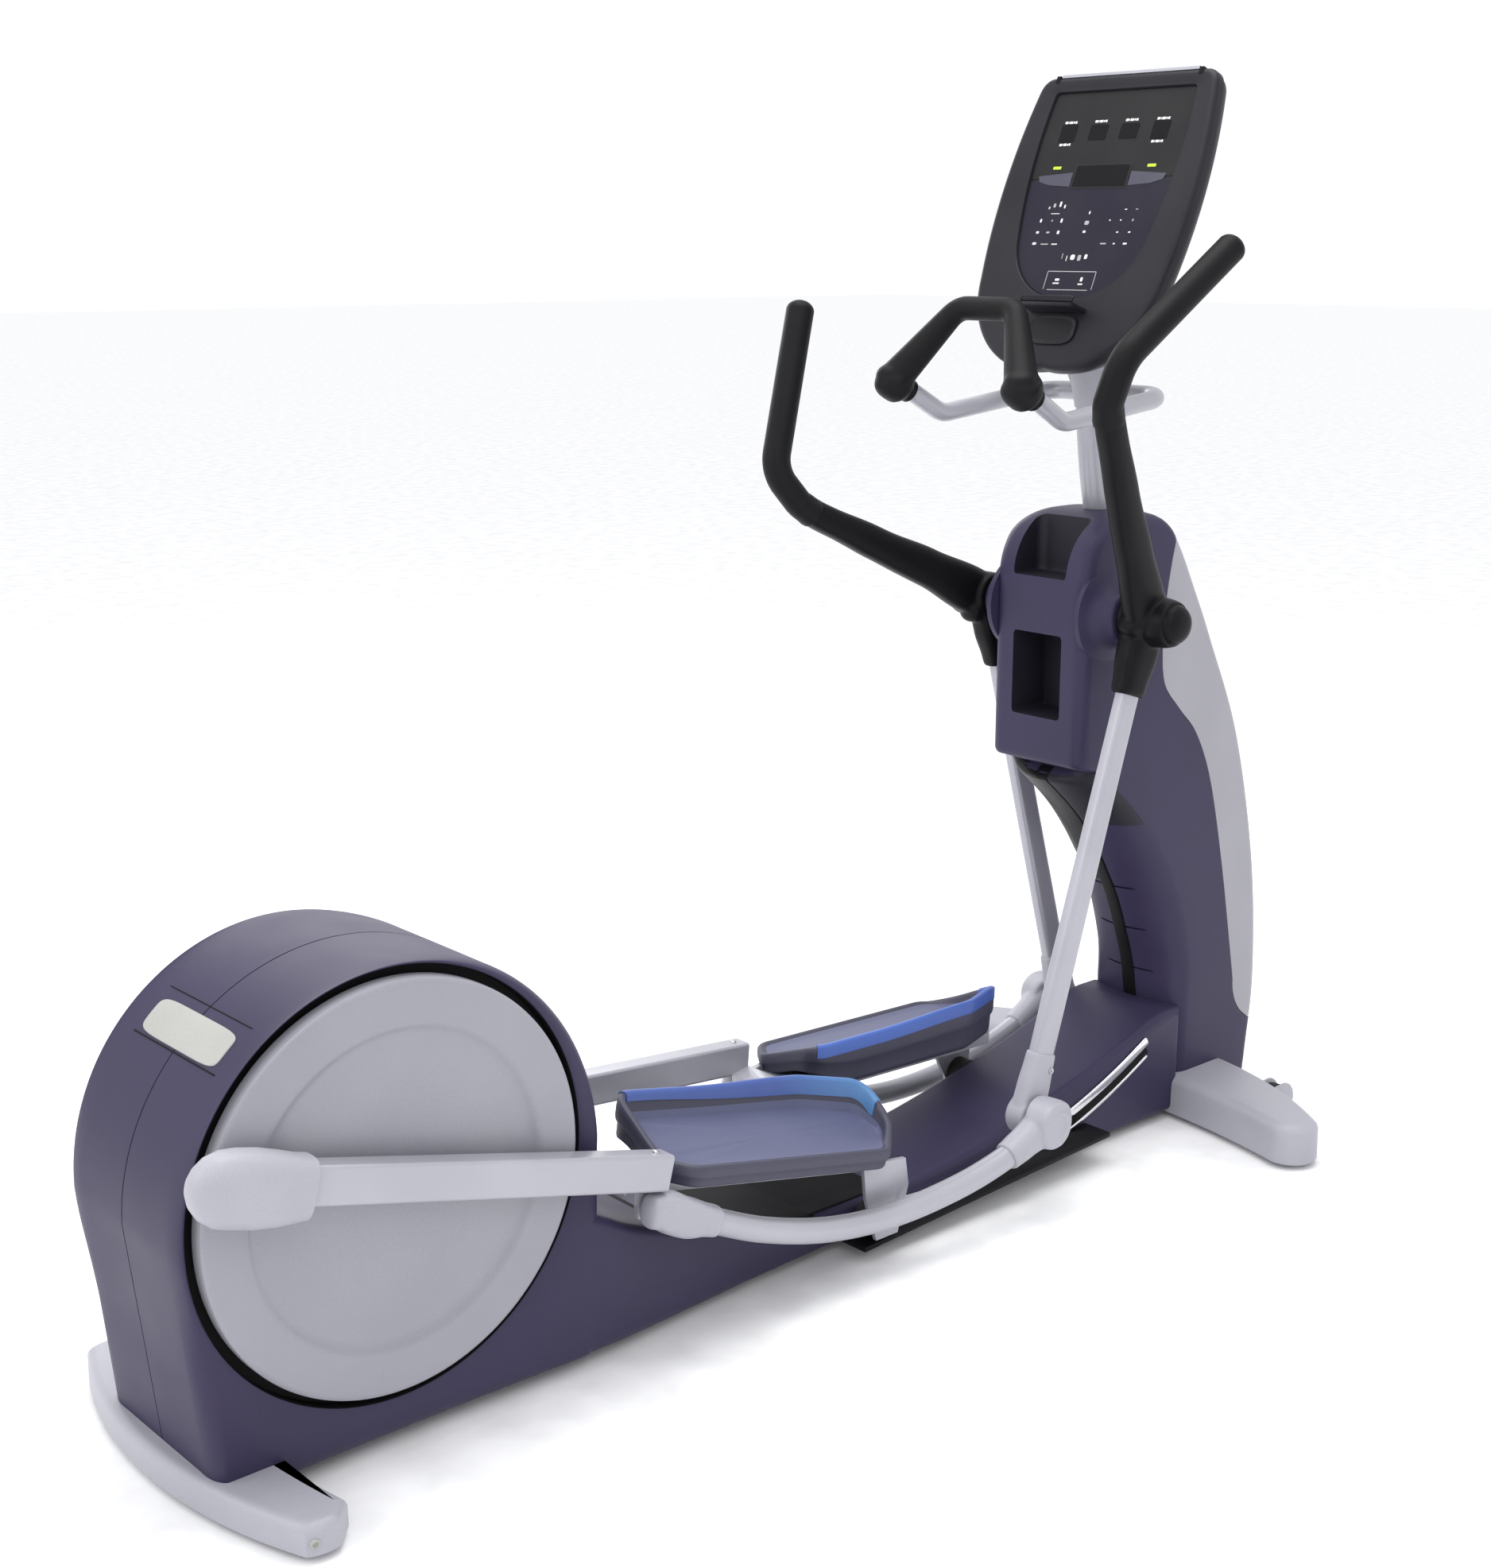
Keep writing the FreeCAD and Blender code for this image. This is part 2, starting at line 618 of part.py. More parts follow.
def front_stabilizer():
    """Moulded cover over the front cross member, with wheel cheeks at its front edge."""
    cover = plan_solid(front_foot_outline(), PAD_HEIGHT, FRONT_FOOT_HEIGHT)
    cover = soften(cover, 8, lies_on_plane("Z", FRONT_FOOT_HEIGHT))
    for side in (1, -1):
        low, high = sorted((side * (WHEEL_IN - 8), side * (WHEEL_OUT + 8)))
        cheek = drum(WHEEL_AXLE, WHEEL_RADIUS + 6, low, high)
        cheek = cheek.common(box(1600, 1900, low, high, PAD_HEIGHT, 100))
        cover = cover.fuse(cheek)
    for side in (1, -1):
        low, high = sorted((side * (WHEEL_IN - 1), side * (WHEEL_OUT + 1)))
        cover = cover.cut(drum(WHEEL_AXLE, WHEEL_RADIUS + 2, low, high))
        low, high = sorted((side * (WHEEL_IN - 6), side * (WHEEL_OUT + 6)))
        cover = cover.cut(drum(WHEEL_AXLE, 5, low, high))
    cover = cover.cut(box(1640, 1735, -181, 181, 0, 59))
    cover = cover.cut(box(1690, 1759, -MAST_RADIUS - 3, MAST_RADIUS + 3, 0, 100))
    return cover.cut(box(1500, 1759, -BEAM_HALF - 1, BEAM_HALF + 1, 0, 67))


def transport_wheel(side):
    low, high = sorted((side * WHEEL_IN, side * WHEEL_OUT))
    return ring(WHEEL_AXLE, WHEEL_RADIUS, 5 + RUNNING_GAP, low, high)


def wheel_axles():
    pins = []
    for side in (1, -1):
        low, high = sorted((side * (WHEEL_IN - 6), side * (WHEEL_OUT + 6)))
        pins.append(drum(WHEEL_AXLE, 5, low, high))
    return Part.Compound(pins)


def levelling_feet():
    """Rubber pads under the four foot tips."""
    pads = []
    for x, y, high in ((-204, 258, PAD_HEIGHT), (1632, 346, PAD_HEIGHT)):
        for side in (1, -1):
            pads.append(Part.makeCylinder(22, high, V(x, side * y, 0)))
    return Part.Compound(pads)


# ---------------------------------------------------------------- drive housing
HOUSING_BOTTOM = 14.0
HOUSING_SOFT = 34.0
SOFT_STEPS = 5
RECESS_FLOOR = 126.0


def housing_outline(inset):
    """Round-topped side outline: nearly straight down the back, bulging towards the ramp."""
    i = inset
    top = 658 - i
    rear = -299 + i
    front = 337 - i
    low = HOUSING_BOTTOM + i
    return [
        arc((rear, 356), (10 - 219 + i * 0.71, 350 + 217 - i * 0.71), (10, top)),
        arc((10, top), (246 - i * 0.71, 556 - i * 0.71), (front, 340)),
        line((front, 340), (front - 12, low)),
        line((front - 12, low), (-262 + i, low)),
        line((-262 + i, low), (rear, 356)),
    ]


def housing_body(inset):
    """The casing's solid form from the middle outwards, its side edge rounded in short facets."""
    face = HOUSING_FACE - inset
    bend = HOUSING_SOFT - inset
    wires = [wire_at(housing_outline(inset), -inset)]
    for step in range(SOFT_STEPS + 1):
        angle = math.radians(90 * step / SOFT_STEPS)
        shrink = bend * (1 - math.cos(angle))
        wires.append(wire_at(housing_outline(inset + shrink), face - bend + bend * math.sin(angle)))
    return Part.makeLoft(wires, True, True)


def housing_shell(side):
    """One half of the casing round the drive, with the recess its crank disc turns in."""
    outer = housing_body(0)
    inner = housing_body(WALL)
    cup = drum(CRANK, RECESS_RADIUS + WALL, RECESS_FLOOR - WALL, HOUSING_FACE + 1)
    shell = outer.cut(inner.cut(cup))
    shell = shell.cut(drum(CRANK, RECESS_RADIUS, RECESS_FLOOR, HOUSING_FACE + 1))
    shell = shell.cut(drum(CRANK, 24, 100, HOUSING_FACE))
    shell = shell.cut(box(-300, -150, -1, 151, 0, REAR_FOOT_HEIGHT + 0.5))
    shell = shell.cut(box(300, 340, -1, SHROUD_SIDE + 0.5, 0, 130))
    shell = shell.cut(box(-240, 400, -1, BEAM_HALF + 1, 0, 70))
    shell = shell.cut(lift_handle_blank(0.2))
    shell = shell.cut(box(-400, 400, -2, 0.1, 0, 700))
    if side < 0:
        return shell.mirror(V(0, 0, 0), V(0, 1, 0))
    return shell


def lift_handle_blank(play):
    """The shallow pale insert set into the top of the back."""
    block = box(-22, 22, -92, 92, -14, 40)
    block = soften(block, 18, lambda edge: abs(edge.BoundBox.ZLength - 54) < 0.01)
    if play:
        block = block.makeOffsetShape(play, 0.01, join=2)
    block.rotate(V(0, 0, 0), V(0, 1, 0), -41)
    block.translate(V(-207, 0, 565))
    return block


def lift_handle_insert():
    shape = slab(housing_outline(1), -100, 100)
    return lift_handle_blank(0).common(shape)


def drive_pulley():
    return ring(CRANK, PULLEY_RADIUS, SHAFT_RADIUS, 56, 76)


def crankshaft():
    return drum(CRANK, SHAFT_RADIUS, -DISC_BACK, DISC_BACK)


def crank_bearings():
    bearings = []
    for side in (1, -1):
        low, high = sorted((side * (PLATE_IN - 3), side * (PLATE_OUT + 3)))
        bearings.append(ring(CRANK, BEARING_RADIUS, SHAFT_RADIUS + RUNNING_GAP, low, high))
    return Part.Compound(bearings)


def crank_discs():
    """Dished cover discs, one on each end of the shaft."""
    discs = []
    for side in (1, -1):
        disc = drum(CRANK, DISC_RADIUS, DISC_BACK, DISC_FACE)
        disc = soften(disc, 6, lies_on_plane("Y", DISC_FACE))
        disc = disc.cut(drum(CRANK, DISC_RADIUS - 8, DISC_BACK - 1, DISC_FACE - 12))
        hub = drum(CRANK, 60, DISC_BACK - 6, DISC_FACE - 10)
        dish_foot = V(0, DISC_FACE - 5, CRANK_HEIGHT)
        dish = Part.makeCone(DISC_DISH_RADIUS, DISC_DISH_RADIUS + 6, 6, dish_foot, V(0, 1, 0))
        disc = disc.fuse(hub).cut(dish)
        disc = disc.cut(drum(CRANK, SHAFT_RADIUS, DISC_BACK - 10, DISC_BACK))
        if side < 0:
            disc = disc.mirror(V(0, 0, 0), V(0, 1, 0))
        discs.append(disc)
    return Part.Compound(discs)


def flywheel():
    """Disc, shaft and small belt pulley in one turned piece."""
    disc = drum(FLYWHEEL_AXLE, FLYWHEEL_RADIUS, -84, -56)
    shaft = drum(FLYWHEEL_AXLE, FLYWHEEL_SHAFT_RADIUS, -84, 80)
    small = drum(FLYWHEEL_AXLE, SMALL_PULLEY_RADIUS, 56, 76)
    return disc.fuse([shaft, small])


def brake_unit():
    """Generator brake on the flywheel axle, flanged to the crank plates."""
    return ring(FLYWHEEL_AXLE, 52, FLYWHEEL_SHAFT_RADIUS + RUNNING_GAP, -PLATE_IN + 0.5, PLATE_IN - 0.5)


def drive_belt():
    """Flat belt round both pulleys: two arcs joined by their outer tangents."""
    bands = []
    for extra in (BELT_THICKNESS, 0.2):
        big = PULLEY_RADIUS + extra
        small = SMALL_PULLEY_RADIUS + extra
        span = distance(CRANK, FLYWHEEL_AXLE)
        lean = heading(CRANK, FLYWHEEL_AXLE)
        open_angle = math.degrees(math.acos((big - small) / span))
        corners = [
            turned((CRANK[0] + big, CRANK[1]), CRANK, lean + open_angle),
            turned((CRANK[0] + big, CRANK[1]), CRANK, lean - open_angle),
            turned((FLYWHEEL_AXLE[0] + small, FLYWHEEL_AXLE[1]), FLYWHEEL_AXLE, lean - open_angle),
            turned((FLYWHEEL_AXLE[0] + small, FLYWHEEL_AXLE[1]), FLYWHEEL_AXLE, lean + open_angle),
        ]
        web = polygon(corners, 58, 74)
        bands.append(web.fuse([drum(CRANK, big, 58, 74), drum(FLYWHEEL_AXLE, small, 58, 74)]))
    return bands[0].cut(bands[1])


# ---------------------------------------------------------------- ramp
TRACK_OUT = 160.0
TRACK_THICK = 8.0


def ramp_outline():
    return [
        line((327, 14), (1651.5, 14)),
        line((1651.5, 14), (1651.5, 206)),
        line((1651.5, 206), (1600, 205)),
        arc((1600, 205), (1275, 142), (960, 74)),
        line((960, 74), (327, 74)),
        line((327, 74), (327, 14)),
    ]


def ramp_shroud():
    """Hollow cover over the spine, rising to a plateau in front of the column."""
    outer = slab(ramp_outline(), -SHROUD_SIDE, SHROUD_SIDE)
    outer = soften(outer, 7, lambda edge: edge.BoundBox.ZMin > 73 and edge.BoundBox.XLength > 30)
    inner = inset_slab(ramp_outline(), WALL, -SHROUD_SIDE + WALL, SHROUD_SIDE - WALL)
    shell = outer.cut(inner)
    shell = shell.cut(box(300, 1700, -BEAM_HALF - 1, BEAM_HALF + 1, 0, BEAM_HIGH + 1))
    return shell.cut(box(1585, 1700, -SHROUD_SIDE - 1, SHROUD_SIDE + 1, 0, FRONT_FOOT_HEIGHT + 0.5))


FAIRING_LOW = 14.0
FAIRING_SOFT = 12.0
FAIRING_GAP = 0.4


def fairing_section(x, half, top, low):
    """Closed section across the fairing, its upper corners chamfered."""
    points = [(-half, low), (-half, top - FAIRING_SOFT), (-half + FAIRING_SOFT, top),
              (half - FAIRING_SOFT, top), (half, top - FAIRING_SOFT), (half, low)]
    corners = [V(x, y, z) for y, z in points]
    return Part.makePolygon(corners + [corners[0]])


def ramp_fairing():
    """Open-bottomed cover that carries the casing's sides on into the ramp, narrowing and falling."""
    side = HOUSING_FACE
    # distance from the crank, half width, height of the top
    stations = [(286, side, 246), (340, side - 0.5, 216), (400, side - 5, 184), (525, side - 19, 136),
                (660, side - 34, 96), (780, SHROUD_SIDE + 1.5, 76)]
    outer = Part.makeLoft([fairing_section(x, half, top, FAIRING_LOW) for x, half, top in stations], True, True)
    hollow = [(x, half - WALL, top - WALL) for x, half, top in stations[:-1]]
    hollow = [(hollow[0][0] - 1, hollow[0][1], hollow[0][2])] + hollow[1:]
    inner = Part.makeLoft([fairing_section(x, half, top, FAIRING_LOW - 4) for x, half, top in hollow], True, True)
    shell = outer.cut(inner)
    casing = housing_body(-FAIRING_GAP)
    seam = slab(housing_outline(-FAIRING_GAP), -2, 2)
    for form in (casing, casing.mirror(V(0, 0, 0), V(0, 1, 0)), seam):
        shell = shell.cut(form)
    reach = SHROUD_SIDE + FAIRING_GAP
    return shell.cut(box(280, 800, -reach, reach, 0, 74 + FAIRING_GAP))


def ramp_rails():
    """Polished guide rails let into the ramp's sides, flat at the back and rising in front."""
    rails = []
    for side in (1, -1):
        low, high = sorted((side * SHROUD_SIDE, side * (SHROUD_SIDE + 5)))
        for drop, height in ((0, 17), (34, 5)):
            top = arc((930, 58 - drop), (1290, 78 - drop), (1552, 176 - drop))
            under = arc((1552, 176 - drop - height), (1290, 78 - drop - height), (930, 58 - drop - height))
            edges = [top, line((1552, 176 - drop), (1552, 176 - drop - height)), under,
                     line((930, 58 - drop - height), (930, 58 - drop))]
            rails.append(slab(edges, low, high))
    return Part.Compound(rails)


def roller_tracks():
    """Low ledges the rollers run on, along the stroke's heading."""
    rise = math.tan(math.radians(STROKE_HEADING))
    ledges = []
    drop = (ROLLER_RADIUS + RIDE_GAP) / math.cos(math.radians(STROKE_HEADING))
    rear = (ROLLER[0] - 40, ROLLER[1] - 40 * rise - drop)
    front = (ROLLER_FORWARD[0] + 40, ROLLER_FORWARD[1] + 40 * rise - drop)
    for side in (1, -1):
        low, high = sorted((side * (SHROUD_SIDE + 0.1), side * TRACK_OUT))
        under = [(front[0], front[1] - TRACK_THICK), (rear[0], rear[1] - TRACK_THICK)]
        ledges.append(polygon([rear, front] + under, low, high).cut(ramp_rails()))
    return Part.Compound(ledges)


# ---------------------------------------------------------------- column
COLUMN_TOP = 1092.0
COLUMN_SOFT = 10.0
FACE_X = 1353.0
BOSS_RADIUS = 56.0
BOSS_TIP_RADIUS = 42.0
BOSS_HEIGHT = 42.0
POCKET_HALF = 52.0
POCKET_LOW = 757.0
POCKET_HIGH = 897.0
TRAY_HALF = 53.0
TRAY_LOW = 1000.0
TRAY_FRONT = 1430.0


def column_rear_edge(inset):
    i = inset
    return [
        curve([(1652 + i, 207), (1650 + i, 300), (1606 + i, 430), (1518 + i, 560), (1400 + i, 668)]),
        line((1400 + i, 668), (FACE_X + i, 680)),
        line((FACE_X + i, 680), (FACE_X + i, 985)),
        arc((FACE_X + i, 985), (1386 + i * 0.7, 1062 - i * 0.7), (1460, COLUMN_TOP - i)),
    ]


def column_front_edge(inset):
    i = inset
    return [
        line((1460, COLUMN_TOP - i), (1530, COLUMN_TOP - i)),
        curve([(1530, COLUMN_TOP - i), (1606 - i, 1020), (1700 - i, 862), (1790 - i, 680),
               (1856 - i, 440), (FRONT_REACH - i, 220), (1866 - i, 60)]),
    ]


def column_outline(inset):
    bottom = HOUSING_BOTTOM + inset
    toe = line((1866 - inset, 60), (1860 - inset, bottom))
    under = line((1860 - inset, bottom), (1652 + inset, bottom))
    back = line((1652 + inset, bottom), (1652 + inset, 207))
    return column_rear_edge(inset) + column_front_edge(inset) + [toe, under, back]


def column_shell(side):
    """One half of the column casing, with the boss round its end of the pivot axle."""
    outer = slab(column_outline(0), 0, COLUMN_SIDE)
    outer = soften(outer, COLUMN_SOFT, lies_on_plane("Y", COLUMN_SIDE))
    foot = V(HANDLE_PIVOT[0], COLUMN_SIDE - WALL, HANDLE_PIVOT[1])
    boss = Part.makeCone(BOSS_RADIUS, BOSS_TIP_RADIUS, BOSS_HEIGHT, foot, V(0, 1, 0))
    outer = outer.fuse(boss)
    inner = slab(column_outline(WALL), -1, COLUMN_SIDE - WALL)
    shell = outer.cut(inner)
    shell = shell.cut(drum(HANDLE_PIVOT, AXLE_RADIUS + 0.2, 0, 200))
    shell = shell.cut(back_panel_blank(0.2))
    shell = shell.cut(mast_hole())
    shell = shell.cut(tray_region(0.2))
    shell = shell.cut(box(1580, 1796, -1, COLUMN_SIDE + 1, 0, FRONT_FOOT_HEIGHT + 0.5))
    shell = shell.cut(box(1300, 1900, -2, 0.1, 0, 1200))
    shell = largest(shell.cut(front_cover_blank()))
    if side < 0:
        return shell.mirror(V(0, 0, 0), V(0, 1, 0))
    return shell


def mast_hole():
    """Clear way for the mast through the top of the column."""
    knee = V(MAST_KNEE[0], 0, MAST_KNEE[1])
    neck = V(MAST_NECK[0], 0, MAST_NECK[1])
    return Part.makeCylinder(MAST_RADIUS + 2, 200, neck - (neck - knee) * 0.3, neck - knee)


def tray_region(play):
    """Region of the rear shoulder taken by the accessory tray."""
    p = play
    return box(FACE_X - 5, TRAY_FRONT + p, -TRAY_HALF - p, TRAY_HALF + p, TRAY_LOW - p, COLUMN_TOP + 1)


def back_panel_blank(play):
    """Region of the rear face taken by the user-side panel."""
    p = play
    return box(FACE_X - 5, FACE_X + 14 + p, -76 - p, 76 + p, 688 - p, 1010 + p)


def column_back_panel():
    """User-side panel, with the bottle pocket and the accessory tray moulded in."""
    panel = back_panel_blank(0).common(slab(column_outline(0), -COLUMN_SIDE, COLUMN_SIDE))
    pocket = box(FACE_X + 2, FACE_X + 84, -POCKET_HALF - 3, POCKET_HALF + 3, POCKET_LOW - 3, POCKET_HIGH + 3)
    hollow = box(FACE_X - 10, FACE_X + 81, -POCKET_HALF, POCKET_HALF, POCKET_LOW, POCKET_HIGH)
    tray = tray_region(0).common(slab(column_outline(1), -TRAY_HALF, TRAY_HALF))
    inside = TRAY_HALF - 3
    dish = box(FACE_X + 17, TRAY_FRONT - 3, -inside, inside, TRAY_LOW + 3, COLUMN_TOP + 5)
    mouth = box(FACE_X - 10, TRAY_FRONT - 3, -inside, inside, TRAY_LOW + 12, COLUMN_TOP + 5)
    return panel.fuse([pocket, tray]).cut(hollow).cut(dish).cut(mouth)


def front_cover_edges():
    return [
        curve([(1590, 1060), (1562, 960), (1556, 860), (1588, 778), (1655, 708), (1706, 610), (1750, 457),
               (1786, 301), (1804, 215)]),
        arc((1804, 215), (1832, 160), (1900, 132)),
        line((1900, 132), (1900, 1060)),
        line((1900, 1060), (1590, 1060)),
    ]


def front_cover_blank():
    return slab(front_cover_edges(), -COLUMN_SIDE - 1, COLUMN_SIDE + 1)


def column_front_cover():
    """Pale cover wrapped round the front of the column."""
    outer = slab(column_outline(0), -COLUMN_SIDE, COLUMN_SIDE)
    for face_y in (COLUMN_SIDE, -COLUMN_SIDE):
        outer = soften(outer, COLUMN_SOFT, lies_on_plane("Y", face_y))
    inner = slab(column_outline(WALL), -COLUMN_SIDE + WALL, COLUMN_SIDE - WALL)
    shell = outer.cut(inner).common(front_cover_blank())
    return largest(shell.cut(box(1580, 1796, -COLUMN_SIDE - 1, COLUMN_SIDE + 1, 0, FRONT_FOOT_HEIGHT + 0.5)))


def column_trim():
    """Dark strips down the undercut sides."""
    strips = []
    for side in (1, -1):
        low, high = sorted((side * COLUMN_SIDE, side * (COLUMN_SIDE + 1.5)))
        edges = [
            curve([(1450, 640), (1545, 560), (1632, 430), (1676, 300), (1680, 210)]),
            line((1680, 210), (1702, 210)),
            curve([(1702, 210), (1698, 310), (1650, 450), (1556, 590), (1450, 640)]),
        ]
        strips.append(slab(edges, low, high))
    return Part.Compound(strips)


def handle_axle():
    """Pivot axle through the column, carrying both handle hubs."""
    return drum(HANDLE_PIVOT, AXLE_RADIUS, -225.5, 225.5)


# ---------------------------------------------------------------- fixed handlebar
KNOB = (1145.0, 134.0, 1311.0)
LOOP_BEND = (1250.0, 128.0, 1252.0)
LOOP_FRONT = (1500.0, 128.0, 1281.0)
GRIP_TOP = (1211.0, 60.0, 1421.0)


def mirrored(point):
    return (point[0], -point[1], point[2])


def fixed_handlebar():
    """Tube loop from knob to knob, passing in front of the mast."""
    points = [KNOB, LOOP_BEND, LOOP_FRONT, mirrored(LOOP_FRONT), mirrored(LOOP_BEND), mirrored(KNOB)]
    loop = pipe(points, LOOP_RADIUS, 42)
    knobs = [Part.makeSphere(34.2, V(*KNOB)), Part.makeSphere(34.2, V(*mirrored(KNOB)))]
    stem = Part.makeCylinder(12, 40, V(1462, 0, 1279), V(1, 0, 0))
    return loop.fuse(stem).cut(knobs[0]).cut(knobs[1]).cut(mast_clear())


def fixed_grip():
    """Heart-rate grip: an arch from knob to knob, with bulb ends."""
    arch = pipe([KNOB, GRIP_TOP, mirrored(GRIP_TOP), mirrored(KNOB)], 19, 26)
    bulbs = []
    for knob, top in ((KNOB, GRIP_TOP), (mirrored(KNOB), mirrored(GRIP_TOP))):
        bulbs.append(Part.makeSphere(34, V(*knob), V(*top) - V(*knob)))
    return arch.fuse(bulbs)


# ---------------------------------------------------------------- console
CONSOLE_TILT = 22.7
CONSOLE_FOOT = (1338.0, 1327.0)
CONSOLE_HALF = 200.0
CONSOLE_TALL = 500.0
CONSOLE_DEEP = 62.0


def console_place(shape):
    """From console axes (X out of the back, Z up the face) to its place on the mast."""
    shape.rotate(V(0, 0, 0), V(0, 1, 0), CONSOLE_TILT)
    shape.translate(V(CONSOLE_FOOT[0], 0, CONSOLE_FOOT[1]))
    return shape


def console_outline(inset, x):
    """Front outline: straight top, sides bowed out, and a round bottom."""
    half_top = 176 - inset
    widest = CONSOLE_HALF - inset
    top = CONSOLE_TALL - inset
    low = inset
    edges = [
        Part.LineSegment(V(x, -half_top, top), V(x, half_top, top)).toShape(),
        Part.Arc(V(x, half_top, top), V(x, widest, 300), V(x, widest - 8, 150)).toShape(),
        Part.Arc(V(x, widest - 8, 150), V(x, 0, low), V(x, 8 - widest, 150)).toShape(),
        Part.Arc(V(x, 8 - widest, 150), V(x, -widest, 300), V(x, -half_top, top)).toShape(),
    ]
    return Part.Wire(edges)


def console_slab(inset, x0, x1):
    face = Part.Face(console_outline(inset, x0))
    return face.extrude(V(x1 - x0, 0, 0))


def console_housing():
    """Rear shell of the console, tapering back to the mast."""
    shell = Part.makeLoft([console_outline(2, 22), console_outline(16, 50), console_outline(60, CONSOLE_DEEP)], True, True)
    hollow = console_slab(24, 21.9, 48)
    return console_place(shell.cut(hollow)).cut(mast_clear())


def mast_clear():
    top = V(MAST_TOP[0], 0, MAST_TOP[1])
    low = V(MAST_NECK[0], 0, MAST_NECK[1])
    along = (top - low).normalize()
    return Part.makeCylinder(MAST_RADIUS + 0.3, (top - low).Length + 1, low, along)


def console_bezel():
    """Front frame round the recessed control face."""
    rounded = Part.makeLoft([console_outline(6, 0), console_outline(1.5, 3), console_outline(0, 8)], True, True)
    frame = rounded.fuse(console_slab(0, 8, 21.8))
    window = box(-1, 12, -143, 143, 110, 470)
    return console_place(frame.cut(window))


def console_overlay():
    """Membrane keypad sheet in the recess; its keys have no travel."""
    sheet = box(8, 11.9, -142.8, 142.8, 110.2, 469.8)
    return console_place(sheet.cut(box(7, 13, -56, 56, 306, 344)))


def display_lens():
    return console_place(box(7, 11.9, -55.8, 55.8, 306.2, 343.8))


def reading_ledge():
    """Ledge that a book rests on, across the console's chin."""
    ledge = box(-26, -0.2, -56, 56, 92, 100)
    lip = box(-32, -26, -56, 56, 92, 110)
    return console_place(ledge.fuse(lip))


def build_fixed():
    add("base_frame", base_frame())
    add("mast", mast())
    add("rear_stabilizer", rear_stabilizer())
    add("front_stabilizer", front_stabilizer())
    add("levelling_feet", levelling_feet())
    add("wheel_axles", wheel_axles())
    add("right_transport_wheel", transport_wheel(-1))
    add("left_transport_wheel", transport_wheel(1))
    add("right_drive_housing", housing_shell(-1))
    add("left_drive_housing", housing_shell(1))
    add("lift_handle_insert", lift_handle_insert())
    add("drive_pulley", drive_pulley())
    add("crankshaft", crankshaft())
    add("crank_bearings", crank_bearings())
    add("crank_discs", crank_discs())
    add("flywheel", flywheel())
    add("brake_unit", brake_unit())
    add("drive_belt", drive_belt())
    add("ramp_shroud", Part.Compound([ramp_shroud(), ramp_fairing()]))
    add("ramp_rails", ramp_rails())
    add("roller_tracks", roller_tracks())
    add("right_column_shell", column_shell(-1))
    add("left_column_shell", column_shell(1))
    add("column_back_panel", column_back_panel())
    add("column_front_cover", column_front_cover())
    add("column_trim", column_trim())
    add("handle_axle", handle_axle())
    add("fixed_handlebar", fixed_handlebar())
    add("fixed_grip", fixed_grip())
    add("console_housing", console_housing())
    add("console_bezel", console_bezel())
    add("console_overlay", console_overlay())
    add("display_lens", display_lens())
    add("reading_ledge", reading_ledge())


def write_all():
    os.makedirs("parts", exist_ok=True)
    for name, shape in pieces.items():
        shape.translate(V(-MIDDLE, 0, 0))
        shape.exportStep("parts/" + name + ".step")
        solids = len(shape.Solids)
        print(name, solids, shape.isValid(), round(shape.Volume / 1000, 1), "cm3")


build_sides()
build_fixed()
write_all()
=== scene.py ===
import json
import math

import bmesh
import bpy
import numpy as np
from mathutils import Matrix, Vector


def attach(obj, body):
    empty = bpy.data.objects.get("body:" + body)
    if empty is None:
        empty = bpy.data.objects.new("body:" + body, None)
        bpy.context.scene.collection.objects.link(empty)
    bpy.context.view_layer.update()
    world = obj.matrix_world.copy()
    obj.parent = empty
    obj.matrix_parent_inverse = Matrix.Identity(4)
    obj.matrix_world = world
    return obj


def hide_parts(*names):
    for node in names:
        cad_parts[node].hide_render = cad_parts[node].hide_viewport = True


# Looks for the elliptical trainer. Shapes are worked out in millimetres from the crank axis,
# +X forward, +Y the user's left, +Z up, and moved to the row frame when a mesh is made.

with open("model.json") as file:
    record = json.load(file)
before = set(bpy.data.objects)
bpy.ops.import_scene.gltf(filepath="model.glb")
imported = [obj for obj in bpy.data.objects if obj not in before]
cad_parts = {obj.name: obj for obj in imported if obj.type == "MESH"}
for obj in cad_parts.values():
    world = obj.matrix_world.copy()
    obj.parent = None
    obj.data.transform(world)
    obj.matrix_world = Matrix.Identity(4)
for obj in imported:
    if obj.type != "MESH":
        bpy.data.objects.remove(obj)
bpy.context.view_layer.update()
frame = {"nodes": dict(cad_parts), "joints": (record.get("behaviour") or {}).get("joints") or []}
nodes = frame["nodes"]
MIDDLE = 786.5
SIDES = ((1, "left"), (-1, "right"))


# ---------------------------------------------------------------- camera and lights
CAMERA_PLACE = (-2.1505, -2.371, 1.522)
CAMERA_YAW = 41.244             # degrees, from +Y towards +X
CAMERA_PITCH = 13.843           # degrees, downwards
CAMERA_LENS = 50.55
CAMERA_SENSOR = 36.0


def make_camera():
    data = bpy.data.cameras.new("camera")
    data.lens = CAMERA_LENS
    data.sensor_width = CAMERA_SENSOR
    camera = bpy.data.objects.new("camera", data)
    bpy.context.scene.collection.objects.link(camera)
    camera.location = CAMERA_PLACE
    yaw = math.radians(CAMERA_YAW)
    pitch = math.radians(CAMERA_PITCH)
    look = Vector((math.sin(yaw) * math.cos(pitch), math.cos(yaw) * math.cos(pitch), -math.sin(pitch)))
    camera.rotation_mode = "QUATERNION"
    camera.rotation_quaternion = look.to_track_quat("-Z", "Y")
    bpy.context.scene.camera = camera


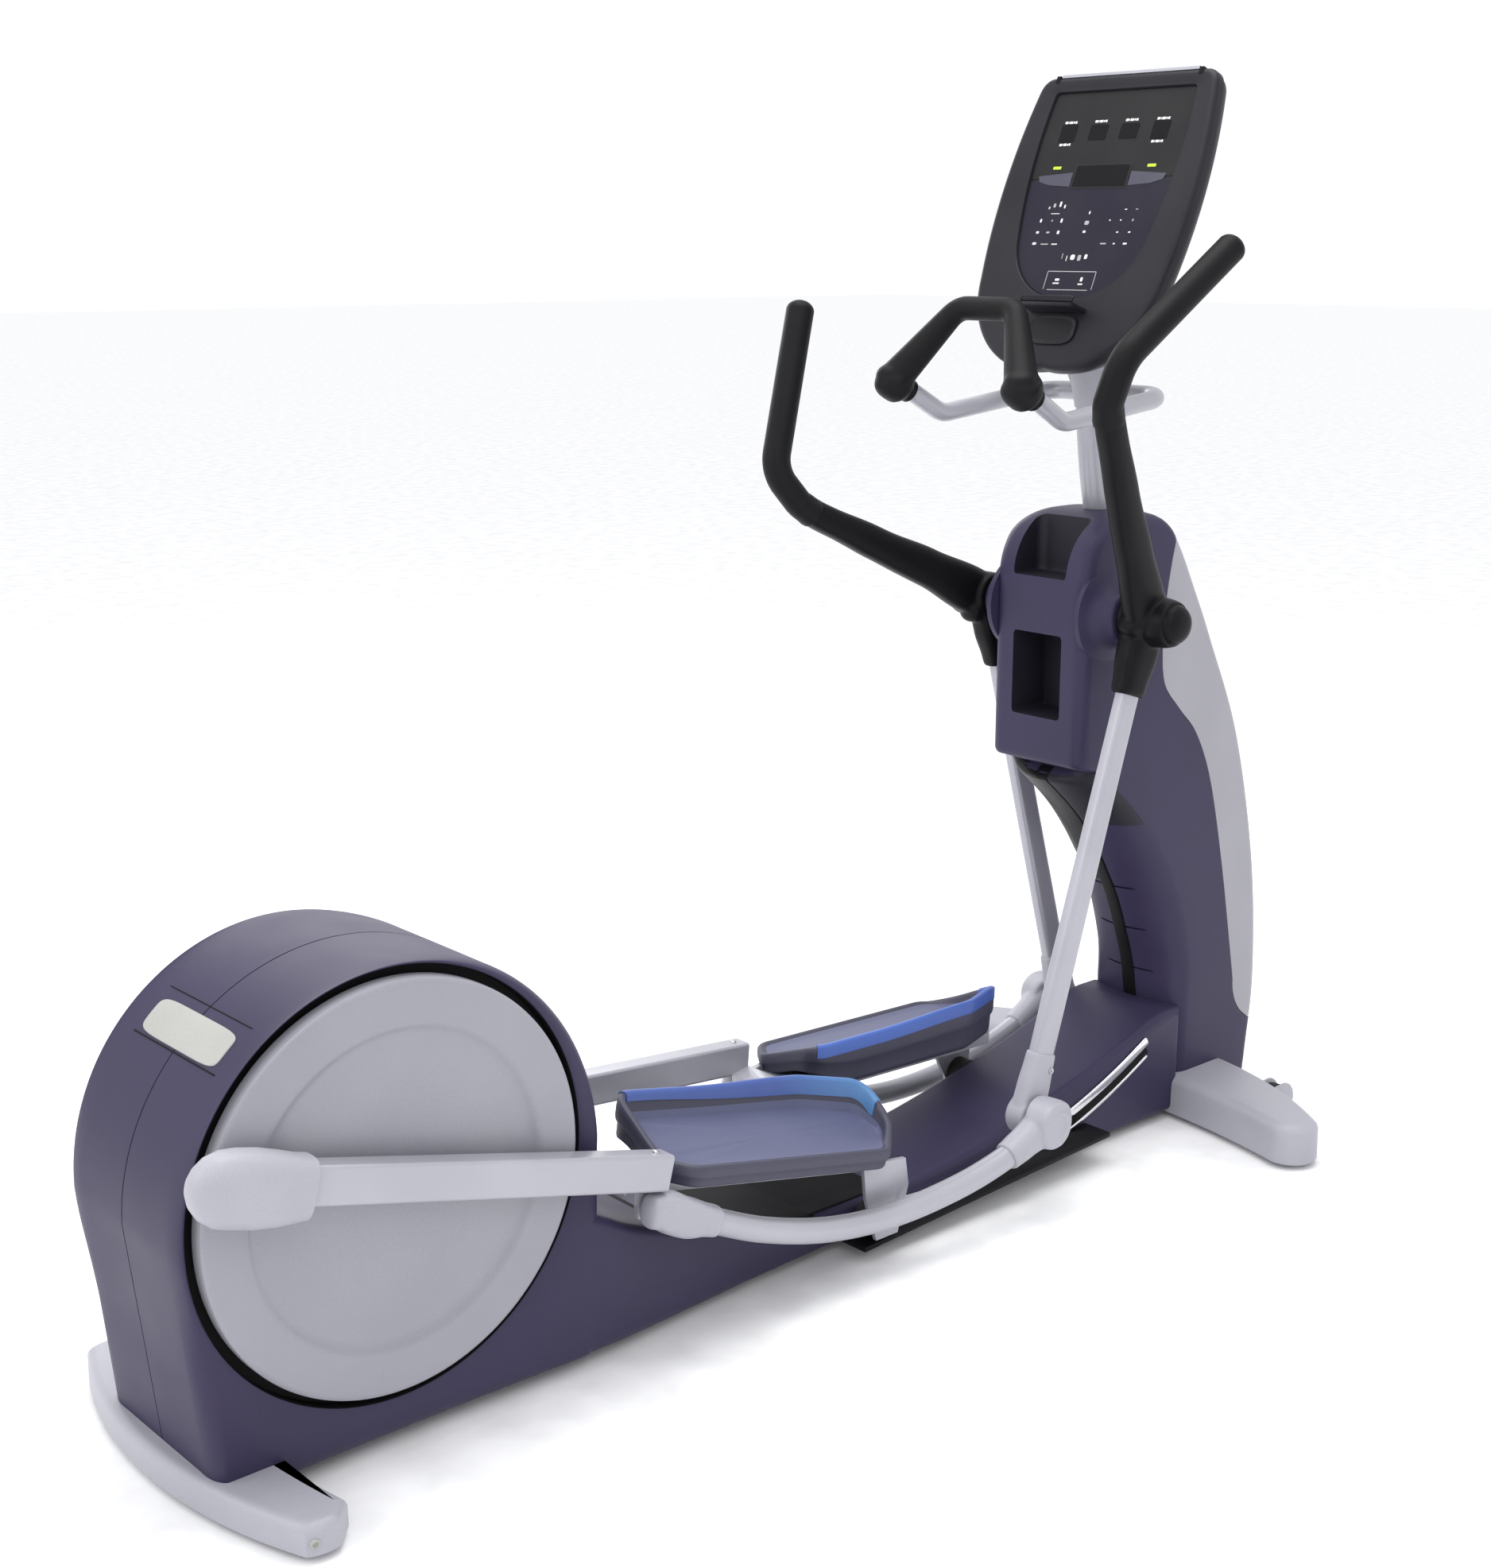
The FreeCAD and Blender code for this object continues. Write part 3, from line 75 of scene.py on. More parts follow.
def area_light(name, place, target, size, power, colour=(1, 1, 1)):
    data = bpy.data.lights.new(name, "AREA")
    data.shape = "RECTANGLE"
    data.size = size[0]
    data.size_y = size[1]
    data.energy = power
    data.color = colour
    light = bpy.data.objects.new(name, data)
    bpy.context.scene.collection.objects.link(light)
    light.location = place
    aim = Vector(target) - Vector(place)
    light.rotation_mode = "QUATERNION"
    light.rotation_quaternion = aim.to_track_quat("-Z", "Y")


def make_lights():
    area_light("key", (-2.2, -3.0, 3.6), (0, 0, 0.7), (2.6, 2.0), 30)
    area_light("fill", (-3.6, 1.2, 2.4), (0, 0, 0.8), (2.4, 2.4), 34)
    area_light("top", (0.2, 0.2, 4.2), (0, 0, 0.5), (3.0, 2.4), 96)
    area_light("rim", (1.0, 3.4, 2.2), (-0.4, 0, 0.6), (3.2, 1.6), 40)
    world = bpy.data.worlds.new("world")
    bpy.context.scene.world = world
    world.use_nodes = True
    world.node_tree.nodes["Background"].inputs[0].default_value = (0.98, 0.985, 1.0, 1)
    world.node_tree.nodes["Background"].inputs[1].default_value = 1.02
    bpy.context.scene.view_settings.view_transform = "Standard"


# ---------------------------------------------------------------- materials
def new_material(name):
    material = bpy.data.materials.new(name)
    material.use_nodes = True
    return material, material.node_tree.nodes, material.node_tree.links


def noise(nodes_in, links, coordinates, scale, detail=3.0):
    texture = nodes_in.new("ShaderNodeTexNoise")
    texture.inputs["Scale"].default_value = scale
    texture.inputs["Detail"].default_value = detail
    links.new(coordinates.outputs["Object"], texture.inputs["Vector"])
    return texture


def ramp(nodes_in, links, source, low, high, values):
    shade = nodes_in.new("ShaderNodeMapRange")
    shade.inputs["From Min"].default_value = low
    shade.inputs["From Max"].default_value = high
    shade.inputs["To Min"].default_value = values[0]
    shade.inputs["To Max"].default_value = values[1]
    links.new(source, shade.inputs["Value"])
    return shade


def finish_material(name, colour, second, rough, grain, depth, metal=0.0, coat=0.0, cloud=7.0, spec=0.5):
    """Moulded plastic, paint or rubber: clouded colour, uneven gloss and a fine grain in the surface."""
    material, made, links = new_material(name)
    shader = made["Principled BSDF"]
    place = made.new("ShaderNodeTexCoord")
    clouds = noise(made, links, place, cloud, 4.0)
    specks = noise(made, links, place, grain * 0.45, 2.0)
    mix = made.new("ShaderNodeMix")
    mix.data_type = "RGBA"
    mix.inputs["A"].default_value = (*colour, 1)
    mix.inputs["B"].default_value = (*second, 1)
    spread = ramp(made, links, clouds.outputs["Fac"], 0.32, 0.68, (0.0, 1.0))
    links.new(spread.outputs["Result"], mix.inputs["Factor"])
    fine = made.new("ShaderNodeMix")
    fine.data_type = "RGBA"
    fine.blend_type = "MULTIPLY"
    fine.inputs["Factor"].default_value = 1.0
    tint = ramp(made, links, specks.outputs["Fac"], 0.3, 0.7, (0.93, 1.05))
    links.new(mix.outputs["Result"], fine.inputs["A"])
    links.new(tint.outputs["Result"], fine.inputs["B"])
    links.new(fine.outputs["Result"], shader.inputs["Base Color"])
    gloss = ramp(made, links, clouds.outputs["Fac"], 0.3, 0.7, (rough - 0.05, rough + 0.06))
    links.new(gloss.outputs["Result"], shader.inputs["Roughness"])
    shader.inputs["Metallic"].default_value = metal
    shader.inputs["Specular IOR Level"].default_value = spec
    if coat:
        shader.inputs["Coat Weight"].default_value = coat
        shader.inputs["Coat Roughness"].default_value = 0.16
    bumps = noise(made, links, place, grain, 2.0)
    bump = made.new("ShaderNodeBump")
    bump.inputs["Strength"].default_value = depth
    bump.inputs["Distance"].default_value = 0.0006
    links.new(bumps.outputs["Fac"], bump.inputs["Height"])
    links.new(bump.outputs["Normal"], shader.inputs["Normal"])
    return material


def shade_along_stroke(name, low_colour, high_colour, start, end, rough):
    """Coloured pedal trim with its blue graded along the stroke: painted light and shade on a single trim colour."""
    material, made, links = new_material(name)
    shader = made["Principled BSDF"]
    place = made.new("ShaderNodeTexCoord")
    split = made.new("ShaderNodeSeparateXYZ")
    links.new(place.outputs["Object"], split.inputs["Vector"])
    along = ramp(made, links, split.outputs["X"], start, end, (0.0, 1.0))
    mix = made.new("ShaderNodeMix")
    mix.data_type = "RGBA"
    mix.inputs["A"].default_value = (*low_colour, 1)
    mix.inputs["B"].default_value = (*high_colour, 1)
    clouds = noise(made, links, place, 40.0, 3.0)
    ripple = ramp(made, links, clouds.outputs["Fac"], 0.3, 0.7, (rough - 0.05, rough + 0.06))
    links.new(along.outputs["Result"], mix.inputs["Factor"])
    links.new(mix.outputs["Result"], shader.inputs["Base Color"])
    links.new(ripple.outputs["Result"], shader.inputs["Roughness"])
    grain = noise(made, links, place, 1400.0, 2.0)
    bump = made.new("ShaderNodeBump")
    bump.inputs["Strength"].default_value = 0.12
    bump.inputs["Distance"].default_value = 0.0004
    links.new(grain.outputs["Fac"], bump.inputs["Height"])
    links.new(bump.outputs["Normal"], shader.inputs["Normal"])
    return material


SHELL = finish_material("moulded_slate", (0.032, 0.026, 0.062), (0.038, 0.031, 0.072), 0.47, 1500, 0.16, spec=0.24)
# Darker copy of the shell plastic: painted shade, for the lining on the near half below the chin and for the recess
# cutters.
SHELL_SHADE = finish_material("moulded_slate_dark", (0.012, 0.011, 0.018), (0.015, 0.014, 0.023), 0.52, 1500, 0.16,
        spec=0.3)
COVER = finish_material("moulded_grey", (0.30, 0.295, 0.33), (0.33, 0.325, 0.36), 0.44, 1400, 0.14)
PALE = finish_material("pale_insert", (0.36, 0.36, 0.34), (0.40, 0.40, 0.38), 0.5, 1100, 0.2)
DISC = finish_material("disc_grey", (0.275, 0.275, 0.315), (0.30, 0.298, 0.338), 0.36, 1500, 0.08, coat=0.12)
SILVER = finish_material("silver_paint", (0.37, 0.37, 0.415), (0.41, 0.41, 0.455), 0.34, 2200, 0.10, metal=0.25,
        coat=0.15)
SILVER_PLASTIC = finish_material("silver_plastic", (0.35, 0.35, 0.395), (0.385, 0.385, 0.43), 0.42, 1500, 0.12)
BLACK = finish_material("black_plastic", (0.0045, 0.0045, 0.0055), (0.007, 0.007, 0.0085), 0.42, 1500, 0.16, spec=0.12)
# Near-black: the real colour of the thin seam lines, and painted shade in the disc recess, between the rails, on the
# fairing top and on the ramp sheet.
SEAM_AND_SHADE = finish_material("dark_gap", (0.005, 0.005, 0.006), (0.008, 0.008, 0.009), 0.7, 900, 0.1, spec=0.15)
RUBBER = finish_material("grip_rubber", (0.005, 0.005, 0.006), (0.008, 0.008, 0.009), 0.48, 1700, 0.32, spec=0.14)
TREAD = finish_material("tread_rubber", (0.012, 0.012, 0.013), (0.018, 0.018, 0.019), 0.7, 900, 0.4, spec=0.3)
PEDAL = finish_material("pedal_plastic", (0.044, 0.043, 0.072), (0.050, 0.049, 0.082), 0.5, 1200, 0.26)
# Foot plate: a lighter, bluer copy of the pedal plastic, partly its own bluish tone and partly painted light on the
# upward face.
PEDAL_FLOOR_LIT = finish_material("pedal_floor", (0.088, 0.096, 0.175), (0.098, 0.106, 0.190), 0.52, 1200, 0.3)
# The right trim lightens towards the toe and the left trim darkens towards it: painted light and shade.
TRIM_RIGHT = shade_along_stroke("right_trim_blue", (0.050, 0.095, 0.32), (0.08, 0.21, 0.42), -0.05, 0.12, 0.42)
TRIM_LEFT = shade_along_stroke("left_trim_blue", (0.055, 0.12, 0.42), (0.045, 0.095, 0.37), 0.30, 0.55, 0.42)
CONSOLE = finish_material("console_charcoal", (0.012, 0.012, 0.016), (0.016, 0.016, 0.021), 0.42, 1500, 0.14, spec=0.22)
# Darker copy of the console plastic: the real colour of the display frame, and painted shade in the dish under the
# reading ledge.
CONSOLE_BLACK_AND_SHADE = finish_material("console_recess", (0.006, 0.006, 0.008), (0.009, 0.009, 0.012), 0.5, 1300, 0.12,
        spec=0.25)
FILM_TOP = finish_material("keypad_film_upper", (0.014, 0.014, 0.015), (0.018, 0.018, 0.019), 0.38, 900, 0.06,
        spec=0.16)
FILM_LOW = finish_material("keypad_film_lower", (0.014, 0.013, 0.024), (0.018, 0.017, 0.028), 0.38, 900, 0.06,
        spec=0.16)
WING = finish_material("keypad_wing", (0.055, 0.055, 0.078), (0.066, 0.066, 0.09), 0.36, 900, 0.06, spec=0.3)
LENS = finish_material("lens_black", (0.002, 0.002, 0.003), (0.003, 0.003, 0.005), 0.2, 300, 0.02, spec=0.2)
MARK = finish_material("print_white", (0.62, 0.62, 0.62), (0.70, 0.70, 0.70), 0.5, 900, 0.05)
MARK_DIM = finish_material("print_grey", (0.30, 0.30, 0.31), (0.36, 0.36, 0.37), 0.5, 900, 0.05)
LIME = finish_material("print_lime", (0.42, 0.58, 0.02), (0.50, 0.66, 0.04), 0.5, 900, 0.05)
CHROME = finish_material("rail_chrome", (0.78, 0.78, 0.80), (0.83, 0.83, 0.85), 0.13, 500, 0.03, metal=1.0)
STEEL = finish_material("turned_steel", (0.42, 0.42, 0.44), (0.50, 0.50, 0.52), 0.32, 800, 0.12, metal=1.0)
IRON = finish_material("cast_iron", (0.09, 0.09, 0.10), (0.13, 0.13, 0.14), 0.55, 420, 0.4, metal=0.6)
FLOOR = finish_material("pale_floor", (0.968, 0.968, 0.972), (0.975, 0.975, 0.98), 0.85, 30, 0.01, cloud=0.8, spec=0.1)


# ---------------------------------------------------------------- mesh helpers
def mesh_object(name, verts, faces, materials, face_material=None, angle=38.0):
    """A mesh in the row frame from points in millimetres."""
    data = bpy.data.meshes.new(name)
    placed = [((x - MIDDLE) / 1000, y / 1000, z / 1000) for x, y, z in verts]
    data.from_pydata(placed, [], faces)
    for material in materials:
        data.materials.append(material)
    if face_material is not None:
        data.polygons.foreach_set("material_index", face_material)
    data.validate()
    shape = bmesh.new()
    shape.from_mesh(data)
    bmesh.ops.remove_doubles(shape, verts=shape.verts, dist=1e-6)
    bmesh.ops.recalc_face_normals(shape, faces=shape.faces)
    shape.to_mesh(data)
    shape.free()
    data.shade_smooth()
    data.set_sharp_from_angle(angle=math.radians(angle))
    made = bpy.data.objects.new(name, data)
    bpy.context.scene.collection.objects.link(made)
    return made


def grid_faces(rings, points, closed=True, first=0):
    """Quads between successive rings of the same number of points."""
    faces = []
    span = points if closed else points - 1
    for r in range(rings - 1):
        for p in range(span):
            a = first + r * points + p
            b = first + r * points + (p + 1) % points
            faces.append((a, b, b + points, a + points))
    return faces


def skin(name, rings, materials, caps=True, face_material=None, angle=38.0):
    """A surface through closed rings of points, its ends filled."""
    count = len(rings[0])
    verts = [tuple(point) for one in rings for point in one]
    faces = grid_faces(len(rings), count)
    if caps:
        faces.append(tuple(range(count)))
        last = (len(rings) - 1) * count
        faces.append(tuple(range(last, last + count)))
    index = None
    if face_material is not None:
        index = [face_material(f // count, f % count) if f < (len(rings) - 1) * count else 0 for f in range(len(faces))]
    return mesh_object(name, verts, faces, materials, index, angle)


def smooth_path(points, step=8.0):
    """Points of a Catmull-Rom line through the given ones, about a step apart."""
    given = [np.array(p, float) for p in points]
    ends = [2 * given[0] - given[1]] + given + [2 * given[-1] - given[-2]]
    made = []
    for i in range(1, len(ends) - 2):
        p0, p1, p2, p3 = ends[i - 1:i + 3]
        count = max(2, int(np.linalg.norm(p2 - p1) / step))
        for k in range(count):
            t = k / count
            made.append(0.5 * ((2 * p1) + (p2 - p0) * t + (2 * p0 - 5 * p1 + 4 * p2 - p3) * t * t
                               + (3 * p1 - p0 - 3 * p2 + p3) * t ** 3))
    made.append(given[-1])
    return made


def rounded_path(points, bend, step=8.0):
    """Straight runs with arcs of the bend radius at the corners."""
    given = [np.array(p, float) for p in points]
    made = [given[0]]
    for before, corner, after in zip(given, given[1:], given[2:]):
        incoming = (before - corner) / np.linalg.norm(before - corner)
        outgoing = (after - corner) / np.linalg.norm(after - corner)
        half = math.acos(np.clip(incoming @ outgoing, -1, 1)) / 2
        back = bend / math.tan(half)
        centre = corner + (incoming + outgoing) / np.linalg.norm(incoming + outgoing) * bend / math.sin(half)
        first = corner + incoming * back - centre
        last = corner + outgoing * back - centre
        turn = math.pi - 2 * half
        count = max(3, int(turn * bend / step) + 2)
        for k in range(count + 1):
            t = k / count
            made.append(centre + (first * math.sin((1 - t) * turn) + last * math.sin(t * turn)) / math.sin(turn))
    made.append(given[-1])
    return made


def squared(angle, share):
    """Cosine and sine of an angle, pushed towards the corners of a square as share falls below 1."""
    c, s = math.cos(angle), math.sin(angle)
    return math.copysign(abs(c) ** share, c), math.copysign(abs(s) ** share, s)


def round_box(middle, half, bend, count):
    """Closed rectangle about middle with rounded corners, count steps round each."""
    ring = []
    for sx, sy, start in ((1, 1, 0), (-1, 1, 90), (-1, -1, 180), (1, -1, 270)):
        for k in range(count + 1):
            a = math.radians(start + 90 * k / count)
            ring.append((middle[0] + sx * (half[0] - bend) + bend * math.cos(a),
                    middle[1] + sy * (half[1] - bend) + bend * math.sin(a)))
    return ring


def frames_along(path, up=(0, 1, 0)):
    """A direction and two cross directions at each point, turning as little as possible."""
    tangents = []
    for i in range(len(path)):
        ahead = path[min(i + 1, len(path) - 1)] - path[max(i - 1, 0)]
        tangents.append(ahead / np.linalg.norm(ahead))
    side = np.array(up, float)
    made = []
    for tangent in tangents:
        side = side - (side @ tangent) * tangent
        side = side / np.linalg.norm(side)
        made.append((tangent, side, np.cross(tangent, side)))
    return made


def sweep(name, path, section, materials, sides=32, power=2.0, dome=(0.0, 0.0), up=(0, 1, 0), face_material=None):
    """A tube along path. section(t) gives (half across up, half across the other way); dome rounds the ends."""
    path = [np.array(p, float) for p in path]
    lengths = np.concatenate([[0], np.cumsum([np.linalg.norm(b - a) for a, b in zip(path, path[1:])])])
    share = lengths / lengths[-1]
    axes = frames_along(path, up)
    rings = []
    steps = 7

    def ring_at(centre, axis, size, shrink):
        ring = []
        for k in range(sides):
            c, s = squared(2 * math.pi * k / sides, 2 / power)
            ring.append(centre + axis[1] * c * size[0] * shrink + axis[2] * s * size[1] * shrink)
        return ring

    if dome[0]:
        for k in range(steps):
            a = math.pi / 2 * (k + 0.35) / steps
            rings.append(ring_at(path[0] - axes[0][0] * dome[0] * math.cos(a), axes[0], section(0), math.sin(a)))
    for centre, axis, t in zip(path, axes, share):
        rings.append(ring_at(centre, axis, section(t), 1.0))
    if dome[1]:
        for k in reversed(range(steps)):
            a = math.pi / 2 * (k + 0.35) / steps
            rings.append(ring_at(path[-1] + axes[-1][0] * dome[1] * math.cos(a), axes[-1], section(1), math.sin(a)))
    return skin(name, rings, materials, face_material=face_material)


def between(table):
    """Values at t from rows (t, a, b), eased between them."""
    def value(t):
        for low, high in zip(table, table[1:]):
            if t <= high[0]:
                u = (t - low[0]) / max(high[0] - low[0], 1e-9)
                u = min(max(u, 0.0), 1.0)
                u = u * u * (3 - 2 * u)
                return tuple(a + (b - a) * u for a, b in zip(low[1:], high[1:]))
        return table[-1][1:]
    return value


def offset_outline(points, inset):
    """A closed 2D outline moved inwards along its corner bisectors."""
    pts = np.array(points, float)
    before = np.roll(pts, 1, axis=0)
    after = np.roll(pts, -1, axis=0)
    d1 = pts - before
    d2 = after - pts
    n1 = np.stack([-d1[:, 1], d1[:, 0]], 1) / np.maximum(np.linalg.norm(d1, axis=1)[:, None], 1e-9)
    n2 = np.stack([-d2[:, 1], d2[:, 0]], 1) / np.maximum(np.linalg.norm(d2, axis=1)[:, None], 1e-9)
    mid = n1 + n2
    mid = mid / np.linalg.norm(mid, axis=1)[:, None]
    scale = 1 / np.maximum(np.sum(mid * n1, axis=1), 0.5)
    return pts + mid * (scale * inset)[:, None]


def anticlockwise(points):
    pts = np.array(points, float)
    x, z = pts[:, 0], pts[:, 1]
    area = np.sum(x * np.roll(z, -1) - np.roll(x, -1) * z)
    return pts if area > 0 else pts[::-1]


def rounded_slab(name, outline, y0, y1, soft, materials, steps=5):
    """An outline in the XZ plane made solid from y0 to y1, its edges rounded over soft millimetres."""
    base = anticlockwise(outline)
    rings = []
    for k in range(steps + 1):
        a = math.pi / 2 * k / steps
        inset = soft * (1 - math.sin(a))
        depth = soft * (1 - math.cos(a))
        rings.append([(x, y0 + depth, z) for x, z in offset_outline(base, inset)])
    for k in reversed(range(steps + 1)):
        a = math.pi / 2 * k / steps
        inset = soft * (1 - math.sin(a))
        depth = soft * (1 - math.cos(a))
        rings.append([(x, y1 - depth, z) for x, z in offset_outline(base, inset)])
    return skin(name, rings, materials)


def lathe(name, profile, centre, materials, segments=160, face_material=None):
    """A surface turned about the Y axis through centre from (radius, y) points, first and last on the axis."""
    verts = [(centre[0], profile[0][1], centre[1])]
    for radius, y in profile[1:-1]:
        for k in range(segments):
            a = 2 * math.pi * k / segments
            verts.append((centre[0] + radius * math.cos(a), y, centre[1] + radius * math.sin(a)))
    verts.append((centre[0], profile[-1][1], centre[1]))
    faces = [(0, 1 + k, 1 + (k + 1) % segments) for k in range(segments)]
    index = [face_material(0) if face_material else 0] * segments
    rings = len(profile) - 2
    for r in range(rings - 1):
        for k in range(segments):
            a = 1 + r * segments + k
            b = 1 + r * segments + (k + 1) % segments
            faces.append((a, b, b + segments, a + segments))
            index.append(face_material(r + 1) if face_material else 0)
    last = 1 + (rings - 1) * segments
    end = len(verts) - 1
    for k in range(segments):
        faces.append((last + k, end, last + (k + 1) % segments))
        index.append(face_material(rings) if face_material else 0)
    return mesh_object(name, verts, faces, materials, index, 30.0)


def apply_modifiers(made):
    bpy.context.view_layer.update()
    shaped = made.evaluated_get(bpy.context.evaluated_depsgraph_get())
    data = bpy.data.meshes.new_from_object(shaped)
    made.modifiers.clear()
    made.data = data
    return made


def melt(name, parts, voxel, rounds, material):
    """Several closed meshes fused into one moulded form with soft inner corners."""
    whole = bmesh.new()
    for part in parts:
        whole.from_mesh(part.data)
        bpy.data.objects.remove(part)
    data = bpy.data.meshes.new(name)
    whole.to_mesh(data)
    whole.free()
    made = bpy.data.objects.new(name, data)
    bpy.context.scene.collection.objects.link(made)
    remesh = made.modifiers.new("remesh", "REMESH")
    remesh.mode = "VOXEL"
    remesh.voxel_size = voxel / 1000
    relax = made.modifiers.new("relax", "SMOOTH")
    relax.factor = 0.6
    relax.iterations = rounds
    apply_modifiers(made)
    made.data.materials.clear()
    made.data.materials.append(material)
    made.data.shade_smooth()
    return made


def cut(made, cutter, operation="DIFFERENCE"):
    """made with the closed form cutter taken away, or kept only inside it."""
    step = made.modifiers.new("cut", "BOOLEAN")
    step.operation = operation
    step.solver = "EXACT"
    step.object = cutter
    apply_modifiers(made)
    bpy.data.objects.remove(cutter)
    made.data.shade_smooth()
    made.data.set_sharp_from_angle(angle=math.radians(38))
    return made


def stand_for(made, body, slot, *replaced):
    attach(made, body)
    if replaced:
        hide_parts(*replaced)
    return made


# ---------------------------------------------------------------- the two sides
def turned(point, centre, degrees):
    angle = math.radians(degrees)
    dx = point[0] - centre[0]
    dz = point[1] - centre[1]
    return (centre[0] + dx * math.cos(angle) - dz * math.sin(angle),
            centre[1] + dx * math.sin(angle) + dz * math.cos(angle))


def joint_place(name):
    joint = next(j for j in frame["joints"] if j["name"] == name)
    return (joint["pos_m"][0] * 1000 + MIDDLE, joint["pos_m"][2] * 1000)


def joint_turn(name):
    joint = next(j for j in frame["joints"] if j["name"] == name)
    return max(joint["range_deg"], key=abs)


CRANK = joint_place("crank_turn")
PIN = (-224.010, 448.308)
HANDLE_PIVOT = joint_place("right_handle_swing")
ROLLER = joint_place("right_foot_arm_tip")
LINK_REAR = joint_place("right_link_tip")
LINK_FRONT = (1169.0, 153.0)
FOOT_TURN = joint_turn("right_foot_arm_tip")
LINK_TURN = FOOT_TURN + joint_turn("right_link_tip")
HANDLE_TURN = joint_turn("right_handle_swing")

# body: where it turns on the right, by how much, and where that point is on the left
TRAVEL = {
    "foot_arm": (ROLLER, FOOT_TURN, joint_place("left_foot_arm_tip")),
    "link": (LINK_REAR, LINK_TURN, joint_place("left_link_tip")),
    "handle": (HANDLE_PIVOT, HANDLE_TURN, HANDLE_PIVOT),
}


def add_pair(right, body, slot, *replaced, swap=None, other=None):
    """The right piece, and its mirror image (or that of other) at the other end of the stroke."""
    base = right.name
    data = (other or right).data.copy()
    if other:
        bpy.data.objects.remove(other)
    centre, angle, landing = TRAVEL[body]
    origin = Vector(((centre[0] - MIDDLE) / 1000, 0, centre[1] / 1000))
    target = Vector(((landing[0] - MIDDLE) / 1000, 0, landing[1] / 1000))
    turn = Matrix.Rotation(math.radians(angle), 4, Vector((0, -1, 0)))
    data.transform(Matrix.Scale(-1, 4, (0, 1, 0)) @ Matrix.Translation(target) @ turn @ Matrix.Translation(-origin))
    data.flip_normals()
    left = bpy.data.objects.new("left_" + base, data)
    bpy.context.scene.collection.objects.link(left)
    right.name = "right_" + base
    for side, made in (("right_", right), ("left_", left)):
        stand_for(made, side + body, slot, *[side + node for node in replaced])
    if swap:
        for index, material in enumerate(left.data.materials):
            if material == swap[0]:
                left.data.materials[index] = swap[1]
    return right, left


# ---------------------------------------------------------------- drive housing
HOUSING_SIDE = 146.0
RECESS_RADIUS = 289.0
RECESS_FLOOR = 126.0


def arc_points(a, middle, b, count):
    """Points on the circle through three points of the XZ plane."""
    ax, az = a
    bx, bz = middle
    cx, cz = b
    d = 2 * (ax * (bz - cz) + bx * (cz - az) + cx * (az - bz))
    ux = ((ax * ax + az * az) * (bz - cz) + (bx * bx + bz * bz) * (cz - az) + (cx * cx + cz * cz) * (az - bz)) / d
    uz = ((ax * ax + az * az) * (cx - bx) + (bx * bx + bz * bz) * (ax - cx) + (cx * cx + cz * cz) * (bx - ax)) / d
    radius = math.hypot(ax - ux, az - uz)
    start = math.atan2(az - uz, ax - ux)
    through = math.atan2(bz - uz, bx - ux)
    end = math.atan2(cz - uz, cx - ux)
    sweep_all = (end - start) % (2 * math.pi)
    if (through - start) % (2 * math.pi) > sweep_all:
        sweep_all -= 2 * math.pi
    return [(ux + radius * math.cos(start + sweep_all * k / count),
            uz + radius * math.sin(start + sweep_all * k / count))
            for k in range(count + 1)]


def circle(x, z, radius, count):
    """A full circle in the XZ plane, count steps to each half."""
    left, right = (x - radius, z), (x + radius, z)
    return arc_points(left, (x, z + radius), right, count)[:-1] + arc_points(right, (x, z - radius), left, count)[:-1]


def straight(a, b, count):
    return [(a[0] + (b[0] - a[0]) * k / count, a[1] + (b[1] - a[1]) * k / count) for k in range(count + 1)]


def housing_outline():
    run = arc_points((-299, 356), (-209, 567), (10, 658), 44)
    run += arc_points((10, 658), (246, 556), (337, 340), 44)[1:]
    run += straight((337, 340), (325, 14), 18)[1:]
    run += straight((325, 14), (-262, 14), 30)[1:]
    run += straight((-262, 14), (-299, 356), 18)[1:-1]
    return anticlockwise(run)


def recess_circle(outline):
    """The point of the disc recess nearest each outline point."""
    ring = []
    for x, z in outline:
        dx, dz = x - CRANK[0], z - CRANK[1]
        reach = math.hypot(dx, dz)
        ring.append((CRANK[0] + dx / reach * RECESS_RADIUS, CRANK[1] + dz / reach * RECESS_RADIUS))
    return np.array(ring)


def housing_half_rows(outline, circle):
    """Rows of (outline row, y) from the recess floor out over the lip, the side, the edge and the band."""
    soft = 34.0
    centre = np.array(CRANK)

    def circle_at(radius):
        return centre + (circle - centre) * (radius / RECESS_RADIUS)

    rows = [(circle_at(230), RECESS_FLOOR), (circle_at(RECESS_RADIUS - 1), RECESS_FLOOR),
            (circle_at(RECESS_RADIUS), RECESS_FLOOR + 1), (circle_at(RECESS_RADIUS), HOUSING_SIDE - 3)]
    rows.append((circle_at(RECESS_RADIUS + 1), HOUSING_SIDE - 1))
    inner = circle_at(RECESS_RADIUS + 3)
    edge = offset_outline(outline, soft)
    reach_edge = np.linalg.norm(edge - centre, axis=1)
    reach_lip = np.linalg.norm(inner - centre, axis=1)
    side_gap = np.maximum(reach_edge - reach_lip, 0.0)
    unit = (inner - centre) / reach_lip[:, None]
    rows.append((inner, HOUSING_SIDE))
    steps = 9
    for k in range(steps + 1):
        a = math.pi / 2 * k / steps
        # where the recess leaves no flat side, the rounding starts at the lip
        base = inner + unit * side_gap[:, None]
        target = offset_outline(outline, 0.0)
        flat = base + (target - base) * math.sin(a)
        rows.append((flat, HOUSING_SIDE - soft * (1 - math.cos(a))))
    for share, crown in ((0.66, 0.55), (0.4, 0.85), (0.15, 1.0)):
        rows.append((offset_outline(outline, 0.4 * (1 - crown)), HOUSING_SIDE * share))
    return rows


